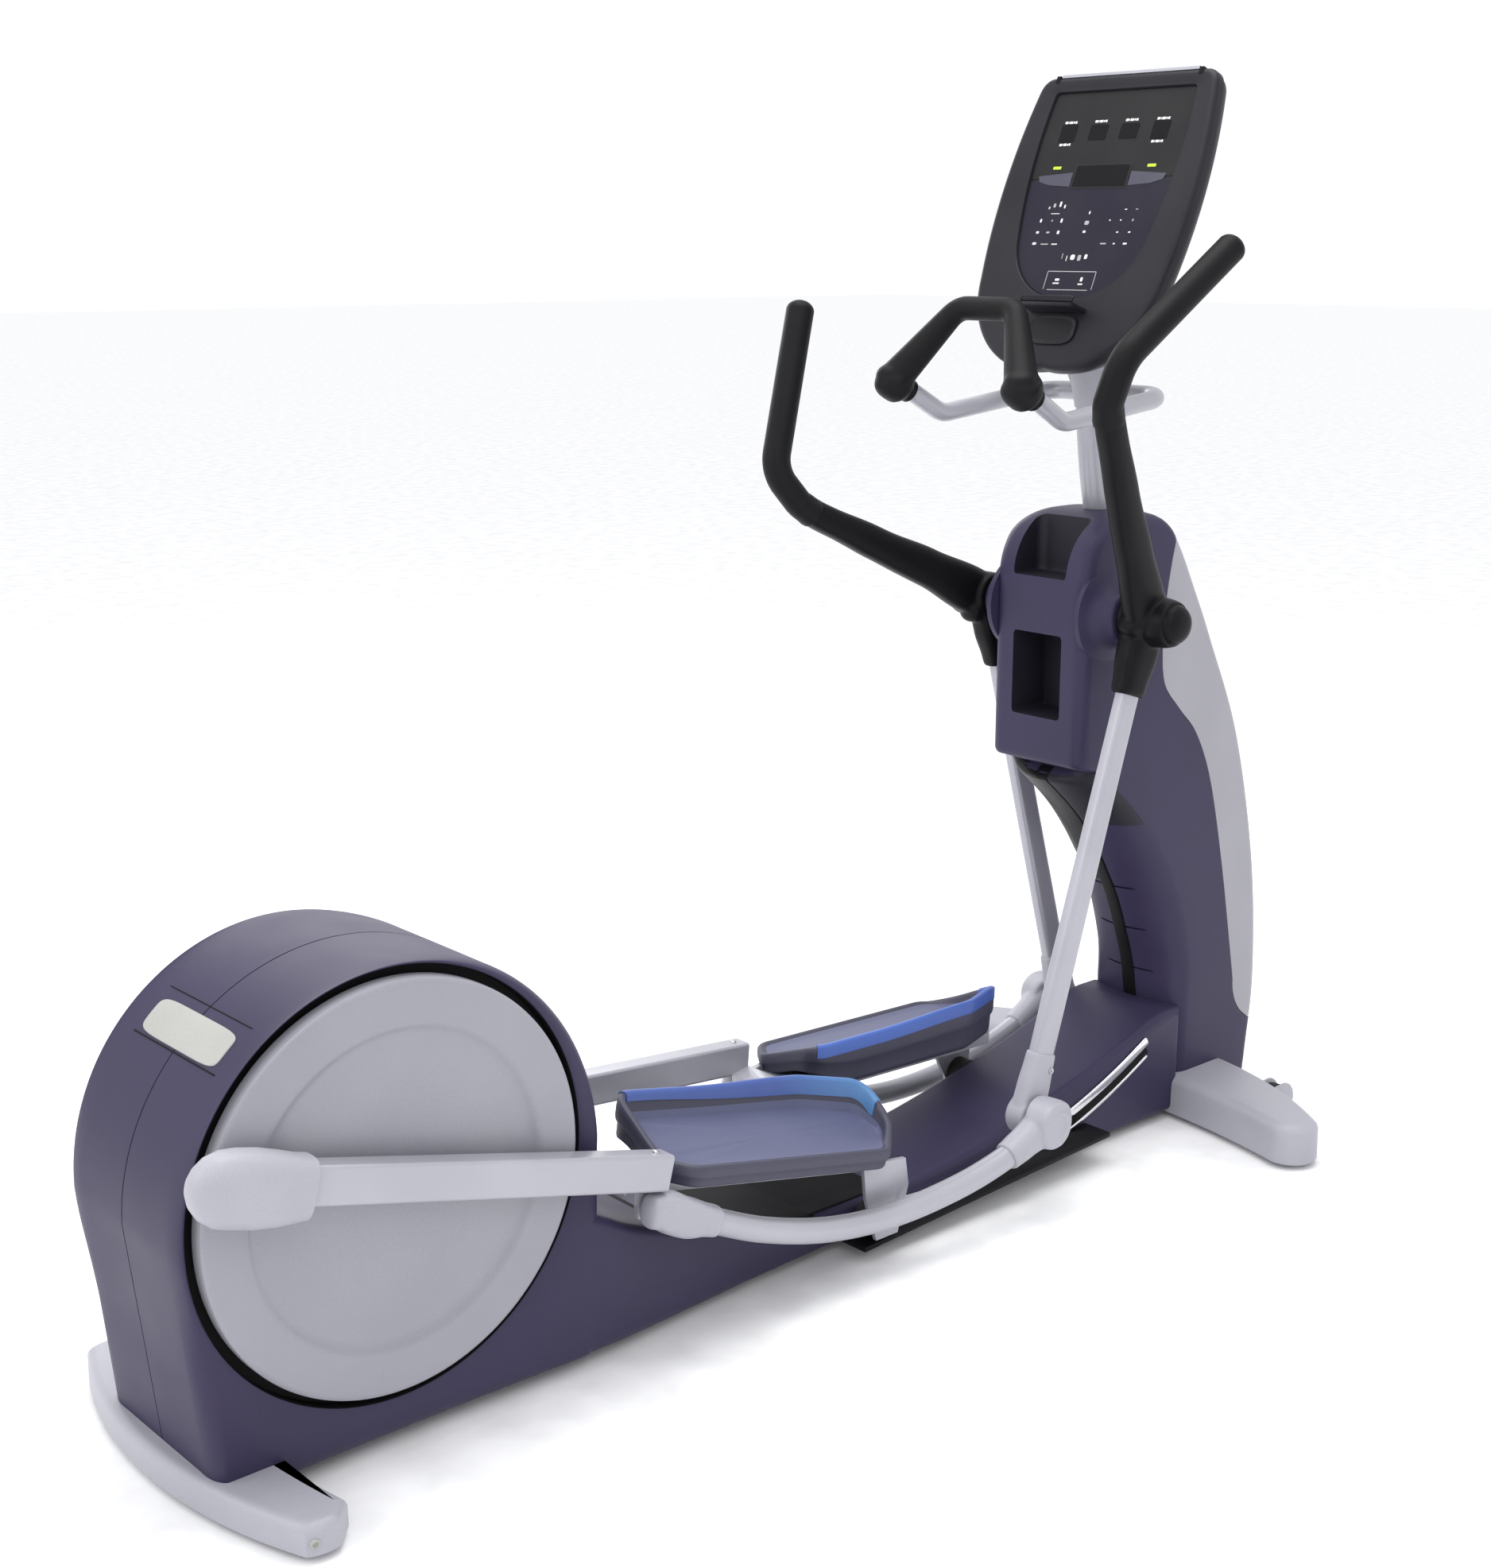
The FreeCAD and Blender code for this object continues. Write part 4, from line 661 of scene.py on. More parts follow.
def make_housing():
    outline = housing_outline()
    circle = recess_circle(outline)
    half = housing_half_rows(outline, circle)
    rings = [[(x, -y, z) for x, z in ring] for ring, y in half]
    groove = [(offset_outline(outline, 0.0), -1.2), (offset_outline(outline, 2.2), -0.5),
              (offset_outline(outline, 2.2), 0.5), (offset_outline(outline, 0.0), 1.2)]
    rings += [[(x, y, z) for x, z in ring] for ring, y in groove]
    rings += [[(x, y, z) for x, z in ring] for ring, y in reversed(half)]
    total = len(rings)

    # The recess floor and wall round the disc take the near-black material: painted shade in the gap between the disc
    # rim and the housing.
    def material_at(row, _):
        return 1 if row < 4 or row >= total - 5 else 0

    made = skin("drive_housing", rings, [SHELL, SEAM_AND_SHADE], face_material=material_at, angle=34)
    stand_for(made, "frame", "shell_plastic", "right_drive_housing", "left_drive_housing")


INSERT_SHIFT = 19.0             # how far the insert stands up the band from its first point
BAND_RADIUS = 300.0


def make_insert():
    """Pale insert in the rear top of the housing, with a soft dished face and a fine rim."""
    centre = (-207.0, 565.0)
    outline = housing_outline()
    radii = np.linalg.norm(outline - np.array(CRANK), axis=1)
    angles = np.arctan2(outline[:, 1] - CRANK[1], outline[:, 0] - CRANK[0]) % (2 * math.pi)
    order = np.argsort(angles)
    middle_angle = math.atan2(centre[1] - CRANK[1], centre[0] - CRANK[0])

    def on_band(u, v, lift):
        """A point u along the band and v across it, lifted off the housing."""
        angle = (middle_angle - (u + INSERT_SHIFT) / BAND_RADIUS) % (2 * math.pi)
        reach = np.interp(angle, angles[order], radii[order]) + lift
        return (CRANK[0] + reach * math.cos(angle), v, CRANK[1] + reach * math.sin(angle))

    def ring_at(half_u, half_v, lift):
        ring = []
        for k in range(72):
            c, s = squared(2 * math.pi * k / 72, 0.34)
            ring.append(on_band(half_u * c, half_v * s, lift))
        return ring

    rings = [ring_at(27, 96, -6), ring_at(27, 96, 0.5), ring_at(26.2, 95.2, 1.4), ring_at(22, 90, 1.7),
            ring_at(15, 70, 1.8), ring_at(7, 40, 1.8)]
    made = skin("lift_handle_face", rings, [PALE])
    stand_for(made, "frame", "pale_plastic", "lift_handle_insert")
    for label, u, wide in (("upper", -31.0, 1.1), ("lower", 42.0, 0.8)):
        line = [on_band(u, v, 0.15) for v in np.linspace(-104, 104, 40)]
        seam = sweep("housing_seam_" + label, line, lambda t: (wide, wide), [SEAM_AND_SHADE], 10, 2.0, (0.6, 0.6),
                up=(1, 0, 0))
        stand_for(seam, "frame", "shell_plastic")


def make_discs():
    for side, sign in (("right", -1), ("left", 1)):
        profile = [(0, 150.4), (40, 150.4), (120, 150.6), (190, 151.0), (200, 151.8), (206, 153.4), (210, 155.6),
                (213.5, 158.0), (217, 159.3),
                   (222, 159.9), (250, 160.0), (268, 160.0), (272.5, 159.0), (275.2, 156.6), (276, 153), (276, 137),
                           (274, 134.4),
                   (268, 134), (60, 134), (0, 134)]
        made = lathe(side + "_crank_disc", [(r, sign * y) for r, y in profile], CRANK, [DISC], 200)
        stand_for(made, "crank", "disc_plastic", *(["crank_discs"] if side == "right" else []))


# ---------------------------------------------------------------- foot arms
ARM_END = (402.0, 284.0)


def make_crank_cover():
    """Egg-shaped cover over the crank end, with a flat collar and a cap screw."""
    slope = math.atan2(ARM_END[1] - PIN[1], ARM_END[0] - PIN[0])
    along = np.array([math.cos(slope), 0, math.sin(slope)])
    up = np.array([-math.sin(slope), 0, math.cos(slope)])
    start = np.array([-307 + 47.0, -196, PIN[1] + 8])
    table = [(-46, 6, 5, 2), (-44, 16, 14, 1.5), (-38, 27, 20, 1), (-27, 38, 26, 0.5), (-10, 46, 30, 0),
            (10, 48, 31, 0), (40, 48, 31, -1),
             (70, 45, 30, -2), (95, 41, 28.5, -2), (112, 39, 27.5, -1), (113, 36.5, 25.5, -1), (107, 34, 23, -1)]
    rings = []
    for x, half_z, half_y, lift in table:
        centre = start + along * x + up * lift + np.array([0, 4.0 * max(0, x) / 112, 0])
        ring = []
        for k in range(56):
            power = 2.3 + 1.2 * max(0.0, min(1.0, x / 110))
            c, s = squared(2 * math.pi * k / 56, 2 / power)
            ring.append(centre + up * c * half_z + np.array([0, 1.0, 0]) * s * half_y)
        rings.append(ring)
    made = skin("crank_cover", rings, [SILVER_PLASTIC], angle=50)
    add_pair(made, "foot_arm", "silver_plastic", "crank_cover")
    spot = start + along * (-30) + up * 4
    screw = small_turned("crank_cover_screw", [(0, 0), (1.8, 0), (2.0, 0.6), (4.6, 1.4), (5.2, 0.6), (5.2, -6),
            (0, -6)], 28, STEEL,
                         spot + np.array([0, -21.5, 0]), (-0.45, -1, 0.1))
    add_pair(screw, "foot_arm", "steel")


def small_turned(name, profile, segments, material, where, facing):
    """A small turned piece whose axis points along facing, at where."""
    made = lathe(name, profile, (0, 0), [material], segments)
    data = made.data
    data.transform(Matrix.Translation((MIDDLE / 1000, 0, 0)))
    turn = Vector((0, 1, 0)).rotation_difference(Vector(facing)).to_matrix().to_4x4()
    spot = Vector(((where[0] - MIDDLE) / 1000, where[1] / 1000, where[2] / 1000))
    data.transform(Matrix.Translation(spot) @ turn)
    return made


# ---------------------------------------------------------------- pedals
PEDAL_TILT = -12.0
PEDAL_ORIGIN = (447.0, 290.0)


def pedal_point(lx, ly, lz):
    x, z = turned((PEDAL_ORIGIN[0] + lx, PEDAL_ORIGIN[1] + lz), PEDAL_ORIGIN, PEDAL_TILT)
    return (x, ly, z)


def pedal_outline():
    """Rounded plan outline of the tray in its own axes."""
    corners = [(-30, -30, 40), (340, -30, 80), (452, -72, 52), (452, -142, 55), (392, -205, 50), (6, -205, 45),
            (-30, -156, 42)]
    places = [np.array(corner[:2], float) for corner in corners]
    bends = []
    for i, here in enumerate(places):
        before = places[i - 1]
        after = places[(i + 1) % len(places)]
        near = np.linalg.norm(before - here)
        far = np.linalg.norm(after - here)
        a = (before - here) / near
        b = (after - here) / far
        half = math.acos(np.clip(a @ b, -1, 1)) / 2
        back = min(corners[i][2] / math.tan(half), 0.46 * min(near, far))
        bends.append((here + a * back, here, here + b * back))
    made = []
    for i, (first, here, last) in enumerate(bends):
        for k in range(9):
            t = k / 8
            made.append((1 - t) ** 2 * first + 2 * t * (1 - t) * here + t * t * last)
        target = bends[(i + 1) % len(bends)][0]
        for k in range(1, 8):
            made.append(last + (target - last) * k / 8)
    return np.array(made)


def eased(value):
    value = min(max(value, 0.0), 1.0)
    return value * value * (3 - 2 * value)


def pedal_rim(x, y, lower=0.0):
    """Rim height round the tray: a high inner wall that falls across the heel and the toe to a low outer lip."""
    high = 51.0 - lower + 8.0 * eased((x - 120) / 220)
    start = 36 + 26 * eased((x - 200) / 150)
    across = min(max((-y - start) / 132.0, 0.0), 1.0)
    across = 0.65 * across + 0.35 * eased(across)
    return high + (-9.0 - high) * across


def pedal_base(x, y):
    """Underside height: raised at the inner end of the heel."""
    return -42.0 + 30.0 * eased((70 - x) / 110) * eased((y + 165) / 110)


def pedal_floor(y, lower):
    """The foot plate slopes a little towards its outer side."""
    return -13.0 + (24.0 - lower) * eased((y + 200) / 170)


def make_pedals():
    tray, trim = make_pedal(0.0)
    far_tray, far_trim = make_pedal(16.0)
    add_pair(tray, "foot_arm", "pedal_plastic", "pedal_tray", other=far_tray)
    add_pair(trim, "foot_arm", "trim_plastic", "pedal_trim", swap=(TRIM_RIGHT, TRIM_LEFT), other=far_trim)


def make_pedal(lower):
    """Moulded foot plate: a tray with a high inner wall, a low stepped outer side and a coloured band."""
    base = anticlockwise(pedal_outline())
    count = len(base)
    middle = base.mean(axis=0)

    def ring_at(inset, height, share=1.0):
        made = middle + (offset_outline(base, inset) - middle) * share
        return [pedal_point(x, y, height(x0, y0)) for (x, y), (x0, y0) in zip(made, base)]

    def side(part, lift=0.0):
        return lambda x, y: pedal_base(x, y) + part * (pedal_rim(x, y, lower) - pedal_base(x, y)) + lift

    def rim(lift):
        return lambda x, y: pedal_rim(x, y, lower) + lift

    def floor(lift, share=1.0):
        return lambda x, y: pedal_floor(-117.5 + (y + 117.5) * share, lower) + lift

    def wall(part):
        return lambda x, y: pedal_floor(y, lower) + part * (pedal_rim(x, y, lower) - pedal_floor(y, lower))

    rings = [
        ring_at(18, side(0, 1), 0.55), ring_at(16, side(0)), ring_at(11, side(0)), ring_at(7.5, side(0.04)),
        ring_at(6.0, side(0.12)),
        ring_at(5.0, side(0.40)), ring_at(1.6, side(0.47)), ring_at(0.4, side(0.55)), ring_at(0.0, side(0.76)),
                ring_at(0.5, rim(-3.2)),
        ring_at(2.2, rim(-0.8)), ring_at(4.6, rim(0.0)), ring_at(8.0, rim(-0.4)), ring_at(10.6, rim(-2.0)),
                ring_at(12.0, wall(0.72)),
        ring_at(14.5, wall(0.3)), ring_at(17.5, floor(1.6)), ring_at(22, floor(0.3)),
                ring_at(22, floor(0, 0.88), 0.88), ring_at(22, floor(0, 0.7), 0.7),
        ring_at(22, floor(0, 0.5), 0.5), ring_at(22, floor(0, 0.3), 0.3), ring_at(22, floor(0, 0.12), 0.12),
    ]
    # Floor faces take the lighter floor material, which holds painted light.
    tray = skin("pedal_tray", rings, [PEDAL, PEDAL_FLOOR_LIT], face_material=lambda r, p: 1 if r >= 15 else 0, angle=50)
    for polygon in tray.data.polygons:
        if len(polygon.vertices) > 8 and polygon.center.z * 1000 > 0 and polygon.area < 0.003:
            polygon.material_index = 1

    # coloured band over the inner wall's rim and down its face, wider towards the toe
    keep = [i for i, (x, y) in enumerate(base) if y > -38 or (x > 330 and y > -112)]
    breaks = [k for k in range(len(keep)) if (keep[k] - keep[k - 1]) % count != 1]
    start = breaks[0] if breaks else 0
    keep = keep[start:] + keep[:start]
    insets = [-0.7, -0.5, 0.6, 3.0, 6.2, 9.4, 11.6, 12.9, 14.4, 12.6, 10.4, 8.0, 5.0, 2.0, 0.6]
    drops = [-19, -1.4, 0.6, 1.7, 1.9, 1.2, -1.0, -4.0, None, None, -3.5, -1.2, -0.6, -1.4, -18.5]
    moved = [offset_outline(base, inset) for inset in insets]
    rows = []
    for i in keep:
        deep = -12.0 - 14.0 * eased((base[i][0] - 20) / 330)
        row = []
        for line, drop in zip(moved, drops):
            row.append(pedal_point(line[i][0], line[i][1], pedal_rim(*base[i],
                    lower) + (deep if drop is None else drop)))
        rows.append(row)
    return tray, skin("pedal_trim", rows, [TRIM_RIGHT], angle=50)


# ---------------------------------------------------------------- links and rods
LINK_SAG = [(477.0, 190.0), (581.0, 143.0), (707.0, 106.0), (840.0, 91.0), (980.0, 98.0), (1089.0, 120.0)]
HANDLE_Y = -170.0


def link_line():
    run = [LINK_REAR] + LINK_SAG + [LINK_FRONT]
    total = LINK_FRONT[0] - LINK_REAR[0]
    return [(x, -190.0 - 21.0 * (x - LINK_REAR[0]) / total, z) for x, z in run]


def make_link():
    line = smooth_path(link_line(), 10)
    tube = sweep("link_tube", line[3:-3], lambda t: (18.6, 19), [SILVER], 36, 2.0)
    add_pair(tube, "link", "silver_paint", "link_tube")

    rear_path = smooth_path([(374, -193, 234), (399, -193, 227), (430, -193, 209), (462, -193, 196), (486, -193, 186)],
            5)
    rear = sweep("boot", rear_path, between([(0, 20, 24), (0.25, 22, 30), (0.55, 22, 29), (0.9, 21.5, 23),
            (1, 21.5, 22.5)]),
                 [SILVER_PLASTIC], 40, 2.8, (9, 0))
    eye = rounded_slab("eye", circle(399, 227, 26, 24), -214, -171.5, 6, [SILVER_PLASTIC])
    boot = melt("link_rear_cover", [rear, eye], 2.2, 8, SILVER_PLASTIC)
    add_pair(boot, "link", "silver_plastic", "link_covers")

    front_path = [(LINK_FRONT[0] - 6, -191.0, LINK_FRONT[1]), (LINK_FRONT[0] - 1, -210, LINK_FRONT[1]),
            (LINK_FRONT[0] + 2, -236, LINK_FRONT[1])]
    barrel = sweep("barrel", smooth_path(front_path, 4), between([(0, 37, 37), (0.15, 40, 40), (0.85, 40, 40),
            (1, 38, 38)]), [SILVER_PLASTIC], 48, 2.2, (1, 4),
                   up=(1, 0, 0))
    neck = sweep("neck", smooth_path([(1080, -209, 117), (1110, -209.5, 128), (1145, -210.5, 142), (1169, -211, 153)],
            5),
                 between([(0, 22.5, 22.5), (0.35, 24, 25), (1, 26, 34)]), [SILVER_PLASTIC], 40, 2.2, (0, 6))
    cover = melt("link_front_cover", [barrel, neck], 2.2, 8, SILVER_PLASTIC)
    add_pair(cover, "link", "silver_plastic")
    cap = small_turned("link_cap", [(0, 0), (14, 0), (16, 0.6), (17, 1.6), (23, 2.0), (24, 1.2), (24, -8), (0, -8)],
            64, SILVER_PLASTIC,
                       (LINK_FRONT[0] + 2, -238.5, LINK_FRONT[1]), (0, -1, 0))
    add_pair(cap, "link", "silver_plastic")


ROD_LENGTH = math.dist(HANDLE_PIVOT, LINK_FRONT)
ROD_X = (LINK_FRONT[0] - HANDLE_PIVOT[0]) / ROD_LENGTH
ROD_Z = (LINK_FRONT[1] - HANDLE_PIVOT[1]) / ROD_LENGTH


def on_rod(distance, aside=0.0, y=HANDLE_Y):
    """A point down the swing rod from the pivot, aside towards the front."""
    return (HANDLE_PIVOT[0] + ROD_X * distance - ROD_Z * aside, y, HANDLE_PIVOT[1] + ROD_Z * distance + ROD_X * aside)


def make_rod():
    path = [on_rod(d) for d in np.linspace(70, ROD_LENGTH - 38, 40)]
    rod = sweep("swing_rod", path, between([(0, 12.5, 20), (1, 12.5, 22.5)]), [SILVER], 48, 4.2, up=(0, 1, 0))
    add_pair(rod, "handle", "silver_paint", "swing_rod")
    shank = sweep("shank", [on_rod(d) for d in np.linspace(ROD_LENGTH - 104, ROD_LENGTH - 4, 24)],
                  between([(0, 15.5, 25), (0.1, 16.5, 26), (0.6, 18, 29), (1, 18.5, 31)]), [SILVER_PLASTIC], 48, 3.6)
    eye = rounded_slab("eye", circle(*LINK_FRONT, 33, 26), -188, -150.5, 6, [SILVER_PLASTIC])
    foot = melt("rod_foot_cover", [shank, eye], 2.0, 6, SILVER_PLASTIC)
    add_pair(foot, "handle", "silver_plastic", "rod_foot_cover")
    screw = small_turned("rod_screw", [(0, -0.6), (1.6, -0.6), (1.9, 0.4), (4.6, 1.2), (5.6, 0.2), (5.6, -6), (0, -6)],
            28, STEEL,
                         on_rod(ROD_LENGTH - 78, 14, -187.6), (0, -1, 0))
    add_pair(screw, "handle", "steel")


# ---------------------------------------------------------------- swing handles
def make_handle():
    """Moulded arm with hub, cap, blade and elbow, and a long rubber grip with a seam line."""
    hx, hz = HANDLE_PIVOT
    sleeve = sweep("sleeve", [on_rod(d) for d in np.linspace(-6, 122, 24)],
                   between([(0, 26, 38), (0.5, 24, 37), (0.9, 20.5, 30.5), (1, 19.5, 29.5)]), [BLACK], 44, 3.2, (8, 2))
    blade_path = smooth_path([(hx + 6, -178, hz - 14), (hx - 24, -184, hz + 34), (hx - 70, -198, hz + 116),
            (hx - 112, -212, hz + 184),
                              (hx - 150, -226, hz + 250), (hx - 190, -241, hz + 318), (1211, -247.5, 1289)], 8)
    blade = sweep("blade", blade_path, between([(0, 24, 38), (0.12, 25, 41), (0.35, 23, 33), (0.62, 22, 28),
            (0.85, 21.5, 23.5), (1, 21.5, 22)]),
                  [BLACK], 44, 2.6, (10, 0))
    hub = sweep("hub", [(hx, y, hz) for y in (-149, -160, -190, -214, -232)],
                between([(0, 39, 39), (0.2, 41, 41), (0.8, 40, 40), (1, 36, 36)]), [BLACK], 56, 2.0, up=(1, 0, 0))
    heel = sweep("heel", smooth_path([(hx - 44, -176, hz + 4), (hx - 20, -176, hz - 8), (hx, -176, hz - 4)], 5),
            lambda t: (23, 22 + 6 * t), [BLACK], 36, 2.4, (10, 0))
    arm = melt("handle_arm", [sleeve, blade, hub, heel], 2.4, 14, BLACK)
    add_pair(arm, "handle", "black_plastic", "handle_arm")

    cap = lathe("hub_cap", [(0, -249), (11, -248.6), (19, -247.0), (25.5, -243.6), (29.8, -238.4), (32, -232),
            (32.6, -226), (32.6, -220), (0, -220)],
                (hx, hz), [BLACK], 72)
    add_pair(cap, "handle", "black_plastic")

    route = rounded_path([(1211.5, -246.5, 1276), (1211, -269, 1352), (1419, -299, 1512)], 62, 7)
    lead = smooth_path([(hx - 196, -241.5, hz + 326), (1211.5, -246.5, 1284), (1210, -250, 1296)], 6)
    path = lead[:-1] + route[2:]
    grip = sweep("handle_grip", path, between([(0, 23.4, 23.4), (0.02, 24.2, 24.2), (0.05, 23, 23), (0.9, 22.6, 22.6),
            (1, 22.8, 22.8)]), [RUBBER], 44, 2.0, (1.5, 17))
    add_pair(grip, "handle", "grip_rubber", "handle_grip")

    axes = frames_along([np.array(p, float) for p in path])
    seam = []
    for point, axis in list(zip(path, axes))[4:-3]:
        out = -axis[1] * 0.90 + axis[2] * 0.44
        seam.append(np.array(point) + out / np.linalg.norm(out) * 22.7)
    line = sweep("grip_seam", seam, lambda t: (0.9, 0.9), [RUBBER], 10, 2.0, (1, 1))
    add_pair(line, "handle", "grip_rubber")


# ---------------------------------------------------------------- fixed handlebar
def make_fixed_bar():
    route = rounded_path([(1160, 133.2, 1302.5), (1250, 128, 1252), (1500, 128, 1281), (1500, -128, 1281),
            (1250, -128, 1252), (1160, -133.2, 1302.5)], 46, 5)
    bar = sweep("fixed_handlebar", route, lambda t: (15, 15), [SILVER], 36, 2.0)
    stand_for(bar, "frame", "silver_paint", "fixed_handlebar")

    arch = rounded_path([(1148, 132, 1314), (1211, 60, 1421), (1211, -60, 1421), (1148, -132, 1314)], 34, 4)
    arch_body = sweep("arch", arch, between([(0, 27, 27), (0.06, 26, 26), (0.2, 20.5, 20.5), (0.34, 18.8, 18.8),
            (0.66, 18.8, 18.8), (0.8, 20.5, 20.5), (0.94, 26, 26), (1, 27, 27)]),
                      [RUBBER], 40, 2.0)
    parts = [arch_body]
    for sign in (1, -1):
        bulb_path = smooth_path([(1140, sign * 136, 1322), (1143, sign * 135, 1312), (1153, sign * 134, 1303),
                (1170, sign * 132.8, 1294)], 3)
        bulb = sweep("bulb", bulb_path, between([(0, 24, 24), (0.3, 33, 33), (0.62, 31, 31), (1, 21, 21)]), [RUBBER],
                40, 2.0, (14, 1))
        parts.append(bulb)
    grip = melt("fixed_grip", parts, 2.2, 14, RUBBER)
    stand_for(grip, "frame", "grip_rubber", "fixed_grip")
    for sign, side in SIDES:
        collar_path = smooth_path([(1166, sign * 132.9, 1296.4), (1178, sign * 132.3, 1290.2)], 2)
        collar = sweep(side + "_bar_collar", collar_path, lambda t: (18.6, 18.6), [BLACK], 36, 2.0, (1.4, 1.4))
        stand_for(collar, "frame", "black_plastic")


def make_mast():
    path = smooth_path([(1728, 0, 66), (1670, 0, 384), (1600, 0, 700), (1545, 0, 915), (1487, 0, 1130),
            (1464, 0, 1287), (1441, 0, 1445)], 16)
    tube = sweep("mast", path, lambda t: (24.6, 25), [SILVER], 44, 2.0)
    stand_for(tube, "frame", "silver_paint", "mast")
    neck = sweep("mast_neck", smooth_path([(1467, 0, 1262), (1461, 0, 1305), (1453, 0, 1345), (1444, 0, 1392),
            (1436, 0, 1430)], 6),
                 between([(0, 26, 26), (0.1, 27, 27.5), (0.55, 38, 43), (1, 48, 56)]), [SILVER_PLASTIC], 48, 2.2)
    stand_for(neck, "frame", "silver_plastic")


# ---------------------------------------------------------------- console
CONSOLE_TILT = math.radians(22.7)
CONSOLE_FOOT = (1338.0, 1327.0)


def console_point(depth, y, height):
    """Console axes: depth out of the back, y to the left, height up the face."""
    x = CONSOLE_FOOT[0] + depth * math.cos(CONSOLE_TILT) + height * math.sin(CONSOLE_TILT)
    z = CONSOLE_FOOT[1] - depth * math.sin(CONSOLE_TILT) + height * math.cos(CONSOLE_TILT)
    return (x, y, z)


def mirrored(half):
    """A half outline from top middle to bottom middle, closed by its mirror image."""
    return anticlockwise(half + [(-y, h) for y, h in reversed(half[1:-1])])


def console_outline(count=40):
    """Half outline from the middle of the top to the middle of the bottom, mirrored to a closed ring of (y, height)."""
    top = straight((0, 497), (150, 497), 12)
    corner = arc_points((150, 497), (171, 491), (181, 474), 8)[1:]
    side = arc_points((181, 474), (199.5, 310), (190, 148), count)[1:]
    low = arc_points((190, 148), (148, 50), (0, 0.5), count)[1:]
    return mirrored(top + corner + side + low)


def panel_outline():
    """The recessed control face: straight top, sides narrowing a little, round bottom."""
    top = straight((0, 470), (136, 470), 12)
    corner = arc_points((136, 470), (141, 468), (143, 463), 4)[1:]
    side = arc_points((143, 463), (147, 330), (130, 205), 36)[1:]
    low = arc_points((130, 205), (96, 150), (0, 121), 30)[1:]
    return mirrored(top + corner + side + low)


def resample(points, count):
    """The same closed outline with count points, evenly spaced from the middle of the top."""
    pts = np.array(points, float)
    start = int(np.argmin(np.abs(pts[:, 0]) - pts[:, 1] * 10))
    pts = np.roll(pts, -start, axis=0)
    closed = np.vstack([pts, pts[:1]])
    lengths = np.concatenate([[0], np.cumsum(np.linalg.norm(np.diff(closed, axis=0), axis=1))])
    wanted = np.linspace(0, lengths[-1], count, endpoint=False)
    return np.stack([np.interp(wanted, lengths, closed[:, 0]), np.interp(wanted, lengths, closed[:, 1])], 1)


